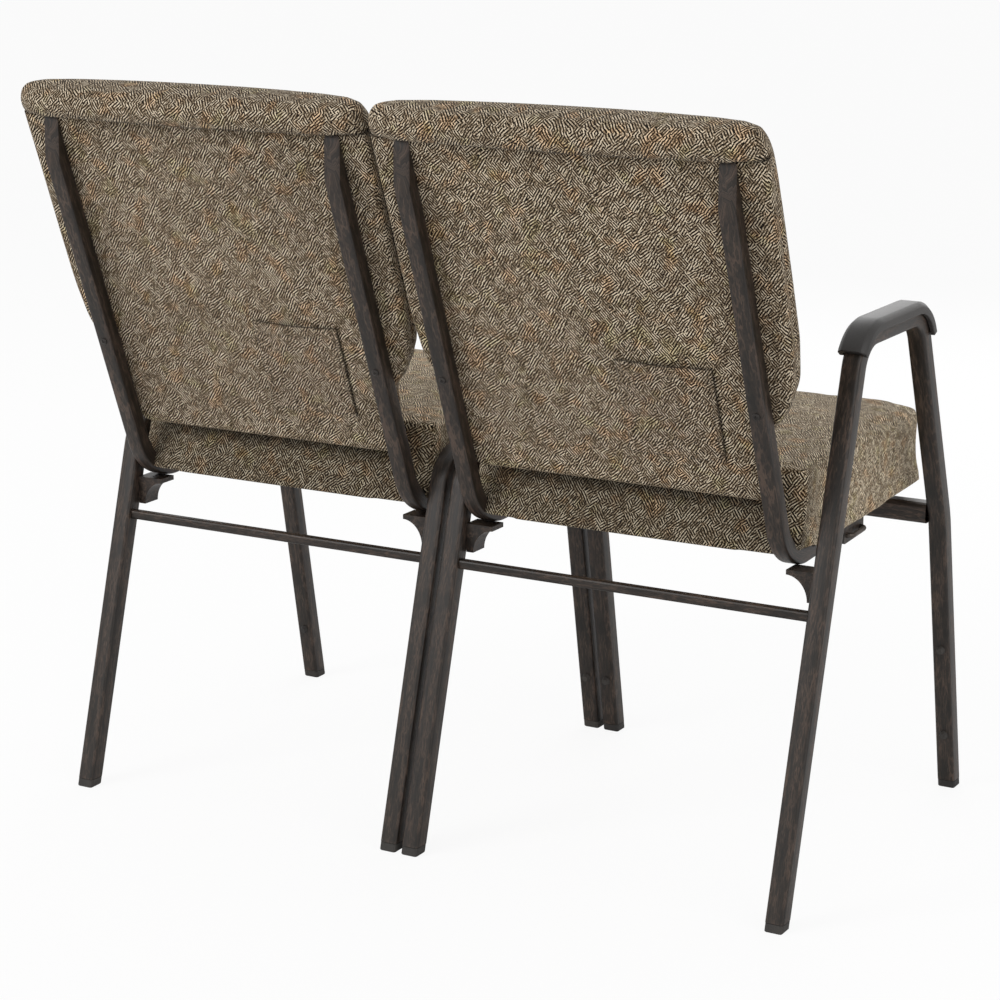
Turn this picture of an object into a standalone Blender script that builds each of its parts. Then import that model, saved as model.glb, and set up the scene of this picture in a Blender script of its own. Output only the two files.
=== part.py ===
"""Two-seat waiting room chair: two padded stacking chairs, hooked together side by side.

Each chair stands on two bent leg frames of square tube. Two J-shaped back rails rise behind
the padded back and turn forward under the seat. The right chair's right frame carries an arm.
Left and right are the sitter's: the sitter faces -Y, so the sitter's left is +X.
"Fore" is the distance forward of the line through the rear feet.
"""
import math

import bmesh
import bpy
from mathutils import Matrix, Vector

# Clearances
GAP = 0.0003                 # between pieces that touch
SLIDE_GAP = 0.0004           # round the sliding ganging wire

# Spacing of the frames
LEG_SPACING = 0.441          # between the centre lines of two plain leg frames
FRAME_CLEARANCE = 0.007      # between the two chairs' neighbouring frames
ARM_OUTSET = 0.0185          # how much farther out the arm frame stands
RAIL_INSET = 0.0295          # from a leg frame's centre line in to the rail's

# Leg frames
LEG_TUBE = 0.022
LEG_WALL = 0.0015
LEG_CORNER = 0.0035
LEG_BEND = 0.045             # centre-line radius of the bends
FOOT_SPREAD = 0.511          # rear foot to front foot, plain frame
REAR_SLOPE = 0.287           # forward run of the rear legs per unit of height
FRONT_SLOPE = 0.185          # rearward run of the plain front legs per unit of height
PLAIN_FRAME_TOP = 0.455      # top of the plain frame's cross bar
ARM_TUBE_TOP = 0.632         # top of the arm frame's tube
ARM_FOOT_OUTSET = 0.014      # arm frame's front foot ahead of the plain one
ARM_KNEE_HEIGHT = 0.36       # where the arm frame's front leg bends
ARM_KNEE_OUTSET = 0.0090     # arm frame's knee ahead of the plain leg
ARM_KNEE_BEND = 0.16
ARM_UPPER_SLOPE = 0.385      # rearward run above the knee per unit of height

# Back rails
RAIL_TUBE = 0.020
RAIL_WALL = 0.0015
RAIL_CORNER = 0.003
RAIL_TOP = 0.390             # top of the rails where they turn under the seat
RAIL_BEND = 0.066
RAIL_CORNER_FORE = 0.1017    # where the upright's and the rail's centre lines cross
RAIL_RUN = 0.093             # length of the rail under the seat, from that crossing
RECLINE = math.radians(20.8)
UPRIGHT_STOP = 0.002         # from the crease under the roll down to the upright's tip
UPRIGHT_TIP = 0.052          # length of the slanted tip
PLUG_HEAD = 0.003
PLUG_STEM = 0.014

# Cross members
CROSS_TUBE = 0.025
CROSS_WALL = 0.0015
CROSS_Z = 0.3655             # middle of the front cross rail
STRETCHER_TUBE = 0.011
STRETCHER_WALL = 0.0012
STRETCHER_HEIGHT = 0.3276
GUSSET_TOP = 0.3729          # just under the rail's bend
GUSSET_REACH = 0.0345        # from the leg in under the rail
GUSSET_DROP = 0.034          # height of the gusset at the leg
GUSSET_DEPTH = 0.026
GUSSET_WALL = 0.0025
GUSSET_TIP = 0.0055
GUSSET_TOE = 0.009           # flat length at the foot of its curve
GUSSET_FORE = 0.106          # its rear face

# Feet and bumpers
GLIDE_HEIGHT = 0.010
GLIDE_STEM = 0.016
BUMPER_RADIUS = 0.0058
BUMPER_HEIGHT = 0.0048
BUMPER_Z = 0.075
UPPER_BUMPER_Z = 0.190

# Arm cap
CAP_WIDTH = 0.034
CAP_RISE = 0.0075            # over the top of the tube
CAP_DROP = 0.006             # down the sides of the tube
CAP_REAR_FACETS = 1          # facets of the rear bend that it leaves bare

# Seat
SEAT_CLEARANCE = 0.004       # seat pad to leg frame, on each side
SEAT_REAR = 0.117
SEAT_REAR_FLARE = 0.024      # how much farther back its lower edge reaches, round the rails
SEAT_OVERHANG = 0.0800       # ahead of the front cross rail
SEAT_TILT = math.radians(2.2)  # of the board and its rails, front up
SEAT_SKIRT = 0.001           # how far the pad hangs below the board's underside
SEAT_SAG = 0.010             # how much lower it hangs in front of its rear edge
SEAT_REAR_HEIGHT = 0.092     # pad height along its rear edge
SEAT_FRONT_HEIGHT = 0.075    # pad height along its front edge
SEAT_CROWN = 0.008           # extra height in the middle
SEAT_PULL_IN = 0.006         # how far the sides draw in at mid height
SEAT_CORNER_DRAW = 0.018     # share by which the corners draw in
SEAT_TOP_DRAW = 0.020        # share by which the top edges draw in
TOP_EDGE_CREASE = 0.35       # how crisp those edges are
SEAT_BOARD_CORNER = 0.055
BOARD_THICKNESS = 0.010
BOARD_INSET = 0.010          # cloth and foam round the board's edge
SPACER_WIDTH = 0.030
SPACER_DEPTH = 0.018
SPACER_OFFSET = 0.115        # from the chair's centre line
SEAT_BUMPER_RADIUS = 0.008
SEAT_BUMPER_HEIGHT = 0.021
SEAT_BUMPER_INSET = 0.0155   # from the board's side edge
SEAT_BUMPER_FORE = 0.470

# Back, in its own frame: up the recline from the seat rails, depth forward of the rear panel
BACK_CLEARANCE = 0.004       # between the two chairs' back pads
TONGUE_INSET = 0.003         # from the rail's centre line in to the tongue's edge
BACK_TOP = 0.878             # height of the top roll above the floor
ROLL_FOOT = 0.838            # height of the crease under the roll
WING_FOOT = 0.540            # height of the wings' lower edge
TONGUE_FOOT = 0.449
PANEL_THICKNESS = 0.003
BACK_BOARD_THICKNESS = 0.008
PANEL_INSET = 0.016          # padded rim round the rear panel
WING_EDGE = 0.045            # pad depth at the wings' edges
BACK_CROWN = 0.020           # extra depth in the middle
TONGUE_EDGE = 0.0235
ROLL_REACH = 0.018           # how far the roll stands behind the panel
BACK_BOARD_INSET = 0.006     # the board is smaller than the panel
WING_CHAMFER = 0.036

# Card pocket
POCKET_WIDTH = 0.116
POCKET_HEIGHT = 0.118
POCKET_THICKNESS = 0.0022
POCKET_OFFSET = 0.080        # towards the sitter's right
POCKET_RISE = 0.045          # from the tongue's foot up to the pocket

# Ganging parts
WIRE_RADIUS = 0.003
WIRE_SPAN = 0.040            # between the two rods of the bail
WIRE_FORE = 0.293
WIRE_DROP = 0.024            # rods' centre below the seat board
WIRE_HEAD = 0.0042           # radius of the stops at the rods' ends
WIRE_HEAD_LENGTH = 0.005
WIRE_TRAVEL = 0.090          # until the stops meet the guide
GUIDE_LENGTH = 0.024
GUIDE_MARGIN = 0.009         # guide's material outside the rods
HOOK_WIDTH = 0.028
HOOK_THICKNESS = 0.003
HOOK_FLANGE = 0.020
HOOK_LIP = 0.0024            # how far the web reaches below the wire

CAGE_SWELL = 0.002           # how far a pad's cage stands outside its softened surface
ARC_STEPS = 6                # facets in a quarter bend
SECTION_STEPS = 2            # facets in a tube's corner

# Widths, heights and places that follow
CHAIR_PITCH = LEG_SPACING + LEG_TUBE + FRAME_CLEARANCE
RAIL_SPACING = LEG_SPACING - 2 * RAIL_INSET
UPRIGHT_TOP = ROLL_FOOT - UPRIGHT_STOP
POCKET_FOOT = TONGUE_FOOT + POCKET_RISE
SEAT_WIDTH = LEG_SPACING - LEG_TUBE - 2 * SEAT_CLEARANCE
BACK_WIDTH = CHAIR_PITCH - BACK_CLEARANCE
TONGUE_WIDTH = RAIL_SPACING - 2 * TONGUE_INSET
ARM_FOOT_SPREAD = FOOT_SPREAD + ARM_FOOT_OUTSET
ARM_KNEE_FORE = FOOT_SPREAD - FRONT_SLOPE * ARM_KNEE_HEIGHT + ARM_KNEE_OUTSET
RAIL_Z = RAIL_TOP - RAIL_TUBE / 2
SEAT_FRONT = FOOT_SPREAD - FRONT_SLOPE * CROSS_Z + SEAT_OVERHANG
SEAT_BASE = RAIL_TOP + GAP
BOARD_EDGE = SEAT_WIDTH / 2 - BOARD_INSET
ARM_Z = ARM_TUBE_TOP - LEG_TUBE / 2
PLAIN_Z = PLAIN_FRAME_TOP - LEG_TUBE / 2
LEAN = math.tan(RECLINE)
WIRE_Z = SEAT_BASE - WIRE_DROP
WIRE_LENGTH = 2 * WIRE_RADIUS + GUIDE_LENGTH + WIRE_TRAVEL + WIRE_HEAD_LENGTH + 4 * GAP
PANEL_FORE = RAIL_CORNER_FORE + (RAIL_TUBE / 2 + GAP) / math.cos(RECLINE)
BACK_FRAME = Matrix.Translation((0, -PANEL_FORE, RAIL_Z)) @ Matrix.Rotation(-RECLINE, 4, "X")
SEAT_PIVOT = Matrix.Translation((0, -RAIL_CORNER_FORE, RAIL_Z))
SEAT_FRAME = SEAT_PIVOT @ Matrix.Rotation(-SEAT_TILT, 4, "X") @ SEAT_PIVOT.inverted()
SIDES = {"left": 1, "right": -1}

for old in list(bpy.data.objects):
    bpy.data.objects.remove(old, do_unlink=True)
PARTS = bpy.data.collections.new("two_seat_waiting_room_chair")
GUIDES = bpy.data.collections.new("guides_and_cutters")
for group in (PARTS, GUIDES):
    bpy.context.scene.collection.children.link(group)


def material(name, colour, roughness, metallic=0.0):
    """A plain finish: colour, roughness and metallic value."""
    finish = bpy.data.materials.new(name)
    finish.use_nodes = True
    shader = finish.node_tree.nodes["Principled BSDF"]
    shader.inputs["Base Color"].default_value = (*colour, 1.0)
    shader.inputs["Roughness"].default_value = roughness
    shader.inputs["Metallic"].default_value = metallic
    finish.diffuse_color = (*colour, 1.0)
    return finish


PAINT = material("hammered_brown_paint", (0.065, 0.045, 0.036), 0.42, 0.35)
CLOTH = material("brown_tweed", (0.235, 0.185, 0.130), 0.92)
BLACK_PLASTIC = material("black_plastic", (0.022, 0.021, 0.020), 0.45)
BLACK_RUBBER = material("black_rubber", (0.018, 0.018, 0.018), 0.75)
PLYWOOD = material("plywood", (0.42, 0.29, 0.17), 0.7)
WIRE_STEEL = material("dark_wire", (0.05, 0.045, 0.042), 0.4, 0.6)


def empty(name, place, parent=None):
    """An empty that carries pieces."""
    carrier = bpy.data.objects.new(name, None)
    carrier.location = place
    carrier.parent = parent
    PARTS.objects.link(carrier)
    return carrier


def piece(name, data, finish, parent):
    """A named part with its finish, hung on its carrier."""
    made = bpy.data.objects.new(name, data)
    made.parent = parent
    data.materials.clear()
    data.materials.append(finish)
    PARTS.objects.link(made)
    if isinstance(data, bpy.types.Mesh):
        data.shade_smooth()
        data.set_sharp_from_angle(angle=math.radians(35))
    return made


def guide(name, data):
    """A helper object that shapes or cuts others and isn't part of the chair."""
    helper = bpy.data.objects.new(name, data)
    helper.hide_render = True
    helper.display_type = "WIRE"
    GUIDES.objects.link(helper)
    return helper


def outline_curve(name, loops):
    """A flat curve of closed loops in its own XY plane."""
    curve = bpy.data.curves.new(name, "CURVE")
    curve.dimensions = "2D"
    for loop in loops:
        spline = curve.splines.new("POLY")
        spline.points.add(len(loop) - 1)
        for point, (x, y) in zip(spline.points, loop):
            point.co = (x, y, 0, 1)
        spline.use_cyclic_u = True
    return curve


def arc(centre, radius, start, end, steps):
    """Points on an arc, both ends included; angles in degrees."""
    angles = [math.radians(start + (end - start) * i / steps) for i in range(steps + 1)]
    return [(centre[0] + radius * math.cos(a), centre[1] + radius * math.sin(a)) for a in angles]


def rounded_box(width, height, radius, steps=SECTION_STEPS):
    """A rectangle about the origin with rounded corners."""
    x, y = width / 2 - radius, height / 2 - radius
    corners = [((x, y), 0), ((-x, y), 90), ((-x, -y), 180), ((x, -y), 270)]
    return [p for centre, turn in corners for p in arc(centre, radius, turn, turn + 90, steps)]


def rounded_path(corners, radius):
    """A path of straight runs through the corners, each corner rounded to its radius."""
    points = [Vector(corners[0])]
    for i in range(1, len(corners) - 1):
        here = Vector(corners[i])
        back = (Vector(corners[i - 1]) - here).normalized()
        on = (Vector(corners[i + 1]) - here).normalized()
        bend = radius[i - 1]
        turn = math.pi - back.angle(on)
        centre = here + (back + on).normalized() * bend / math.cos(turn / 2)
        first = here + back * bend * math.tan(turn / 2) - centre
        axis = on.cross(back)
        steps = max(2, round(ARC_STEPS * turn / (math.pi / 2)))
        for k in range(steps + 1):
            points.append(centre + Matrix.Rotation(turn * k / steps, 3, axis) @ first)
    points.append(Vector(corners[-1]))
    return points


def welded(mesh):
    """The mesh with its doubled points joined and its faces pointing out."""
    shape = bmesh.new()
    shape.from_mesh(mesh)
    bmesh.ops.remove_doubles(shape, verts=shape.verts, dist=0.00001)
    bmesh.ops.recalc_face_normals(shape, faces=shape.faces)
    shape.to_mesh(mesh)
    shape.free()
    return mesh


def solid_of(helper):
    """The evaluated helper as a closed mesh."""
    evaluated = helper.evaluated_get(bpy.context.evaluated_depsgraph_get())
    mesh = bpy.data.meshes.new_from_object(evaluated)
    bpy.data.objects.remove(helper, do_unlink=True)
    return welded(mesh)


def swept(path, section, caps):
    """A mesh of the section carried along the path."""
    profile = guide("section", outline_curve("section", [section]))
    curve = bpy.data.curves.new("path", "CURVE")
    curve.dimensions = "3D"
    curve.twist_mode = "MINIMUM"
    curve.bevel_mode = "OBJECT"
    curve.bevel_object = profile
    curve.use_fill_caps = caps
    spline = curve.splines.new("POLY")
    spline.points.add(len(path) - 1)
    for point, place in zip(spline.points, path):
        point.co = (*place, 1)
    mesh = solid_of(guide("path", curve))
    bpy.data.objects.remove(profile, do_unlink=True)
    return mesh


def plate(loops, thickness):
    """A mesh of the outline given a thickness, centred on the XY plane."""
    curve = outline_curve("plate", loops)
    curve.fill_mode = "BOTH"
    curve.extrude = thickness / 2
    return solid_of(guide("plate", curve))


def cut(target, cutter_mesh, solver="EXACT"):
    """Subtract a cutter, placed in the target's own frame."""
    cutter = guide(target.name + "_cutter", cutter_mesh)
    cutter.parent = target.parent
    cutter.matrix_local = target.matrix_local
    removal = target.modifiers.new("cut", "BOOLEAN")
    removal.operation = "DIFFERENCE"
    removal.object = cutter
    removal.solver = solver


def sliced(mesh, point, normal, fill):
    """Remove what lies beyond the plane; close the cut if asked."""
    shape = bmesh.new()
    shape.from_mesh(mesh)
    geometry = shape.verts[:] + shape.edges[:] + shape.faces[:]
    result = bmesh.ops.bisect_plane(shape, geom=geometry, plane_co=point, plane_no=normal,
                                    clear_outer=True, dist=0.000001)
    if fill:
        rim = [e for e in result["geom_cut"] if isinstance(e, bmesh.types.BMEdge)]
        bmesh.ops.edgeloop_fill(shape, edges=rim)
        bmesh.ops.recalc_face_normals(shape, faces=shape.faces)
    shape.to_mesh(mesh)
    shape.free()
    return mesh


def tube(name, path, size, wall, corner, parent, floor_cut=None):
    """A hollow square tube, open at both ends and cut level at floor_cut if given."""
    mesh = swept(path, rounded_box(size, size, corner), caps=False)
    if floor_cut is not None:
        mesh = sliced(mesh, (0, 0, floor_cut), (0, 0, -1), fill=False)
    made = piece(name, mesh, PAINT, parent)
    shell = made.modifiers.new("wall", "SOLIDIFY")
    shell.thickness = wall
    shell.offset = -1
    shell.use_even_offset = True
    return made


def leg_x(side, arm):
    """Centre line of a leg frame, across the chair."""
    return SIDES[side] * (LEG_SPACING / 2 + (ARM_OUTSET if arm else 0))


def rear_leg_fore(z):
    return REAR_SLOPE * z


def front_leg_fore(z, arm):
    """Centre line of a front leg below the seat."""
    if arm:
        return ARM_FOOT_SPREAD + (ARM_KNEE_FORE - ARM_FOOT_SPREAD) * z / ARM_KNEE_HEIGHT
    return FOOT_SPREAD - FRONT_SLOPE * z


def frame_corners(arm):
    """Corners and bend radii of a leg frame's centre line, as (fore, height)."""
    top = ARM_Z if arm else PLAIN_Z
    rear = [(rear_leg_fore(-LEG_TUBE), -LEG_TUBE), (rear_leg_fore(top), top)]
    if not arm:
        front = [(front_leg_fore(top, arm), top), (front_leg_fore(-LEG_TUBE, arm), -LEG_TUBE)]
        return rear + front, [LEG_BEND, LEG_BEND]
    arm_front = ARM_KNEE_FORE - ARM_UPPER_SLOPE * (top - ARM_KNEE_HEIGHT)
    front = [(arm_front, top), (ARM_KNEE_FORE, ARM_KNEE_HEIGHT),
             (front_leg_fore(-LEG_TUBE, arm), -LEG_TUBE)]
    return rear + front, [LEG_BEND, LEG_BEND, ARM_KNEE_BEND]


def in_profile(points, x):
    """(fore, height) points set up in the chair's own frame."""
    return [(x, -fore, z) for fore, z in points]


def leg_frame(name, side, arm, chair):
    corners, bends = frame_corners(arm)
    path = rounded_path(in_profile(corners, leg_x(side, arm)), bends)
    return tube(name, path, LEG_TUBE, LEG_WALL, LEG_CORNER, chair, floor_cut=GLIDE_HEIGHT)


def arm_cap(name, side, chair):
    """A channel of plastic that wraps the top of the arm and its bends."""
    corners, bends = frame_corners(True)
    path = rounded_path(in_profile(corners[:4], leg_x(side, True)), bends[:2])[1 + CAP_REAR_FACETS:-1]
    inner, outer = LEG_TUBE / 2 + GAP, CAP_WIDTH / 2
    crest = LEG_TUBE / 2 + CAP_RISE
    skirt = LEG_TUBE / 2 - CAP_DROP
    shoulder = CAP_RISE * 0.9
    section = [(-outer, skirt), (-inner, skirt), (-inner, inner), (inner, inner), (inner, skirt),
               (outer, skirt)]
    section += arc((outer - shoulder, crest - shoulder), shoulder, 0, 90, 3)
    section += arc((shoulder - outer, crest - shoulder), shoulder, 90, 180, 3)
    return piece(name, swept(path, section, caps=True), BLACK_PLASTIC, chair)


def rail_path(side, run):
    """The J's centre line, from above its tip to a distance along its run under the seat."""
    x = SIDES[side] * RAIL_SPACING / 2
    tip_fore = RAIL_CORNER_FORE - LEAN * (UPRIGHT_TOP + RAIL_TUBE - RAIL_Z)
    end = (RAIL_CORNER_FORE + run * math.cos(SEAT_TILT), RAIL_Z + run * math.sin(SEAT_TILT))
    corners = [(tip_fore, UPRIGHT_TOP + RAIL_TUBE), (RAIL_CORNER_FORE, RAIL_Z), end]
    return rounded_path(in_profile(corners, x), [RAIL_BEND])


def back_rail(name, side, chair):
    """The J-shaped tube: upright with a slanted closed tip, bend, and run under the seat."""
    path = rail_path(side, RAIL_RUN)
    outer = swept(path, rounded_box(RAIL_TUBE, RAIL_TUBE, RAIL_CORNER), caps=True)
    rise = (UPRIGHT_TOP - RAIL_Z) / math.cos(RECLINE)
    tip = BACK_FRAME @ Vector((path[0].x, GAP, rise))
    outer = sliced(outer, tip, BACK_FRAME.to_3x3() @ Vector((0, UPRIGHT_TIP, RAIL_TUBE)), fill=True)
    made = piece(name, outer, PAINT, chair)
    bore = RAIL_TUBE - 2 * RAIL_WALL
    end_drop = UPRIGHT_TIP + RAIL_WALL + RAIL_TUBE
    start = path[0] + (path[1] - path[0]).normalized() * end_drop
    bore_path = [start] + rail_path(side, RAIL_RUN + RAIL_TUBE)[1:]
    cut(made, swept(bore_path, rounded_box(bore, bore, RAIL_CORNER - RAIL_WALL, 1), caps=True))
    return made


def rail_plug(name, side, chair):
    """A plug in the open front end of a rail: a head and a stem."""
    stem = RAIL_TUBE - 2 * (RAIL_WALL + GAP)
    mesh = stemmed_block(RAIL_TUBE, PLUG_HEAD, stem, PLUG_STEM, RAIL_CORNER)
    mesh.transform(Matrix.Rotation(math.radians(-90), 4, "X"))
    front = RAIL_CORNER_FORE + RAIL_RUN + PLUG_HEAD + GAP
    place = (SIDES[side] * RAIL_SPACING / 2, -front, RAIL_Z)
    mesh.transform(SEAT_FRAME @ Matrix.Translation(place))
    return piece(name, mesh, BLACK_PLASTIC, chair)


def stemmed_block(size, height, stem, stem_height, corner):
    """A square block on the XY plane, its lower edge eased, with a narrower stem on its top."""
    ease = corner / 3
    stages = [(size - 2 * ease, 0, corner - ease), (size, ease, corner), (size, height, corner),
              (stem, height, corner), (stem, height + stem_height, corner)]
    shape = bmesh.new()
    rings = []
    for width, level, radius in stages:
        rings.append([shape.verts.new((x, y, level)) for x, y in rounded_box(width, width, radius)])
    count = len(rings[0])
    for below, above in zip(rings, rings[1:]):
        for i in range(count):
            j = (i + 1) % count
            shape.faces.new((below[i], below[j], above[j], above[i]))
    shape.faces.new(rings[0])
    shape.faces.new(rings[-1])
    bmesh.ops.recalc_face_normals(shape, faces=shape.faces)
    mesh = bpy.data.meshes.new("block")
    shape.to_mesh(mesh)
    shape.free()
    return mesh


def foot_glide(name, side, front, arm, chair):
    """A glide that fills the end of a leg, leaning with it."""
    stem = LEG_TUBE - 2 * (LEG_WALL + 2 * GAP)
    mesh = stemmed_block(LEG_TUBE, GLIDE_HEIGHT - 2 * GAP, stem, GLIDE_STEM, LEG_CORNER)
    foot = front_leg_fore(0, arm) if front else rear_leg_fore(0)
    ahead = front_leg_fore(1, arm) if front else rear_leg_fore(1)
    lean = Matrix.Identity(4)
    lean[1][2] = foot - ahead
    mesh.transform(Matrix.Translation((leg_x(side, arm), -foot, 0)) @ lean)
    return piece(name, mesh, BLACK_RUBBER, chair)


def stacking_bumper(name, side, arm, height, chair):
    """A low round button on the rear face of a front leg."""
    shape = bmesh.new()
    bmesh.ops.create_cone(shape, cap_ends=True, segments=12, radius1=BUMPER_RADIUS,
                          radius2=BUMPER_RADIUS * 0.62, depth=BUMPER_HEIGHT)
    mesh = bpy.data.meshes.new("bumper")
    shape.to_mesh(mesh)
    shape.free()
    slope = math.atan(front_leg_fore(0, arm) - front_leg_fore(1, arm))
    turn = Matrix.Rotation(math.radians(-90) - slope, 4, "X")
    leg = Vector((leg_x(side, arm), -front_leg_fore(height, arm), height))
    stand_off = turn @ Vector((0, 0, LEG_TUBE / 2 + GAP + BUMPER_HEIGHT / 2))
    mesh.transform(Matrix.Translation(leg + stand_off) @ turn)
    return piece(name, mesh, BLACK_RUBBER, chair)


def between_legs(name, fore, height, size, wall, arms, chair):
    """A square tube across the chair from one leg's inner face to the other's."""
    ends = []
    for side, sign in SIDES.items():
        inner = leg_x(side, side in arms) - sign * (LEG_TUBE / 2 + GAP)
        ends.append((inner, -fore, height))
    return tube(name, [Vector(p) for p in ends], size, wall, size * 0.2, chair)


def gusset_outline(inset):
    """Scalloped outline seen from behind: x inward from the leg, y down from the top."""
    toe, tip, drop = GUSSET_TOE - inset, GUSSET_TIP - inset, GUSSET_DROP - inset
    end = GUSSET_REACH - inset
    curve_x, curve_y = end - toe, drop - tip
    steps = 2 * ARC_STEPS
    scallop = []
    for i in range(steps + 1):
        a = math.radians(90 * i / steps)
        scallop.append((end - curve_x * math.sin(a), -drop + curve_y * math.cos(a)))
    return [(inset, -inset), (inset, -drop), (toe, -drop)] + scallop[-2::-1] + [(end, -inset)]


def gusset(name, side, arm, chair):
    """A pressed bracket, hollow in front, between the rear leg and the rail above it."""
    sign = SIDES[side]
    leg_face = abs(leg_x(side, arm)) - LEG_TUBE / 2 - GAP
    middle = GUSSET_FORE + GUSSET_DEPTH / 2
    place = Matrix.Translation((sign * leg_face, -middle, GUSSET_TOP))
    face = Matrix(((-sign, 0, 0, 0), (0, 0, 1, 0), (0, 1, 0, 0), (0, 0, 0, 1)))

    def pressed(inset, depth, shift):
        mesh = plate([gusset_outline(inset)], depth)
        mesh.transform(place @ face @ Matrix.Translation((0, 0, shift)))
        return welded(mesh)

    made = piece(name, pressed(0, GUSSET_DEPTH, 0), PAINT, chair)
    cut(made, pressed(GUSSET_WALL, GUSSET_DEPTH, -GUSSET_WALL))
    return made


def seat_spacer(name, side, fore, chair):
    """A block that carries the seat board on the front cross rail, its top cut to the tilt."""
    foot = CROSS_Z + CROSS_TUBE / 2 + GAP
    under_board = RAIL_Z + (SEAT_BASE - GAP - RAIL_Z) / math.cos(SEAT_TILT)
    profile = []
    for edge in (fore - SPACER_DEPTH / 2, fore + SPACER_DEPTH / 2):
        profile.append((edge, foot))
        profile.append((edge, under_board + (edge - RAIL_CORNER_FORE) * math.tan(SEAT_TILT)))
    mesh = plate([[profile[0], profile[2], profile[3], profile[1]]], SPACER_WIDTH)
    stand = Matrix(((0, 0, 1, SIDES[side] * SPACER_OFFSET), (-1, 0, 0, 0), (0, 1, 0, 0), (0, 0, 0, 1)))
    mesh.transform(stand)
    return piece(name, welded(mesh), PAINT, chair)


def seat_bumper(name, side, chair):
    """A round stacking foot under a front corner of the seat board."""
    shape = bmesh.new()
    bmesh.ops.create_cone(shape, cap_ends=True, segments=16, radius1=SEAT_BUMPER_RADIUS * 0.8,
                          radius2=SEAT_BUMPER_RADIUS, depth=SEAT_BUMPER_HEIGHT)
    mesh = bpy.data.meshes.new("seat_bumper")
    shape.to_mesh(mesh)
    shape.free()
    height = SEAT_BASE - GAP - SEAT_BUMPER_HEIGHT / 2
    place = (SIDES[side] * (BOARD_EDGE - SEAT_BUMPER_INSET), -SEAT_BUMPER_FORE, height)
    mesh.transform(SEAT_FRAME @ Matrix.Translation(place))
    return piece(name, mesh, BLACK_RUBBER, chair)


def seat_board_shape(margin, low, high):
    """The seat board's outline grown by a margin, between two levels from its underside."""
    depth = SEAT_FRONT - SEAT_REAR - 2 * BOARD_INSET + 2 * margin
    outline = rounded_box(2 * (BOARD_EDGE + margin), depth, SEAT_BOARD_CORNER + margin, ARC_STEPS // 2)
    mesh = plate([outline], high - low)
    place = (0, -(SEAT_REAR + SEAT_FRONT) / 2, SEAT_BASE + (low + high) / 2)
    mesh.transform(SEAT_FRAME @ Matrix.Translation(place))
    return mesh


def seat_board(name, chair):
    return piece(name, seat_board_shape(0, 0, BOARD_THICKNESS), PLYWOOD, chair)


def seat_pad(name, chair):
    """Crowned pad that hangs round the board and the rails, thinner towards the front."""
    shape = bmesh.new()
    bmesh.ops.create_cube(shape, size=2)
    bmesh.ops.subdivide_edges(shape, edges=shape.edges, cuts=4, use_grid_fill=True)
    half_width = SEAT_WIDTH / 2 + CAGE_SWELL
    half_depth = (SEAT_FRONT - SEAT_REAR) / 2 + CAGE_SWELL
    crease = shape.edges.layers.float.new("crease_edge")
    for rim in shape.edges:
        level = {round(v.co.z, 3) for v in rim.verts}
        if level in ({1.0}, {-1.0}) and rim.calc_face_angle(0) > 0.7:
            rim[crease] = 0.85 if level == {-1.0} else TOP_EDGE_CREASE
    for vert in shape.verts:
        u, v, w = vert.co
        round_off = 1 - SEAT_CORNER_DRAW * (u * v) ** 4
        pull = SEAT_PULL_IN * (1 - w * w) * max(abs(u), abs(v)) ** 4
        edge = max(abs(u), abs(v)) ** 6
        top_round = 1 - SEAT_TOP_DRAW * edge * max(0, w) ** 3
        crown = SEAT_CROWN * (1 - u * u) * (1 - v * v) * (w + 1) / 2
        height = SEAT_FRONT_HEIGHT + (SEAT_REAR_HEIGHT - SEAT_FRONT_HEIGHT) * (v + 1) / 2
        vert.co.x = u * (half_width * round_off * top_round - pull)
        vert.co.y = v * (half_depth * round_off * top_round - pull)
        vert.co.y += SEAT_REAR_FLARE * ((1 - w) / 2) ** 1.4 * max(0, v) ** 4
        sag = SEAT_SAG * (1 - max(0, v) ** 2) * (1 - w) / 2
        vert.co.z = (w + 1) / 2 * height + crown - sag
    mesh = bpy.data.meshes.new("seat_pad")
    shape.to_mesh(mesh)
    shape.free()
    place = (0, -(SEAT_REAR + SEAT_FRONT) / 2, SEAT_BASE - SEAT_SKIRT)
    mesh.transform(SEAT_FRAME @ Matrix.Translation(place))
    made = piece(name, mesh, CLOTH, chair)
    soften = made.modifiers.new("soften", "SUBSURF")
    soften.levels = 1
    soften.render_levels = 1
    cut(made, seat_board_shape(GAP, -2 * (SEAT_SKIRT + SEAT_SAG), BOARD_THICKNESS + GAP))
    around = RAIL_TUBE + 2 * GAP
    for side in SIDES:
        path = rail_path(side, RAIL_RUN + PLUG_HEAD + 2 * GAP)
        cut(made, swept(path, rounded_box(around, around, RAIL_CORNER), caps=True))
    return made


def up_back(height):
    """Distance up the recline of a height above the floor, on the rear panel."""
    return (height - RAIL_Z) / math.cos(RECLINE)


def back_outline(inset):
    """Wing and tongue outline of the back, as (x, up), drawn in by an inset."""
    wing, tongue = BACK_WIDTH / 2 - inset, TONGUE_WIDTH / 2 - inset
    foot, wing_foot = up_back(TONGUE_FOOT) + inset, up_back(WING_FOOT) + inset
    top = up_back(ROLL_FOOT) - GAP - (inset - PANEL_INSET)
    right = [(tongue, foot), (tongue, wing_foot), (wing - WING_CHAMFER, wing_foot),
             (wing, wing_foot + WING_CHAMFER), (wing, top)]
    return right + [(-x, up) for x, up in reversed(right)]


def back_plate(inset, near, far):
    """The back's outline as a plate from depth near to depth far."""
    mesh = plate([back_outline(inset)], far - near)
    stand = Matrix(((1, 0, 0, 0), (0, 0, -1, -(near + far) / 2), (0, 1, 0, 0), (0, 0, 0, 1)))
    mesh.transform(BACK_FRAME @ stand)
    return mesh


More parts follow.
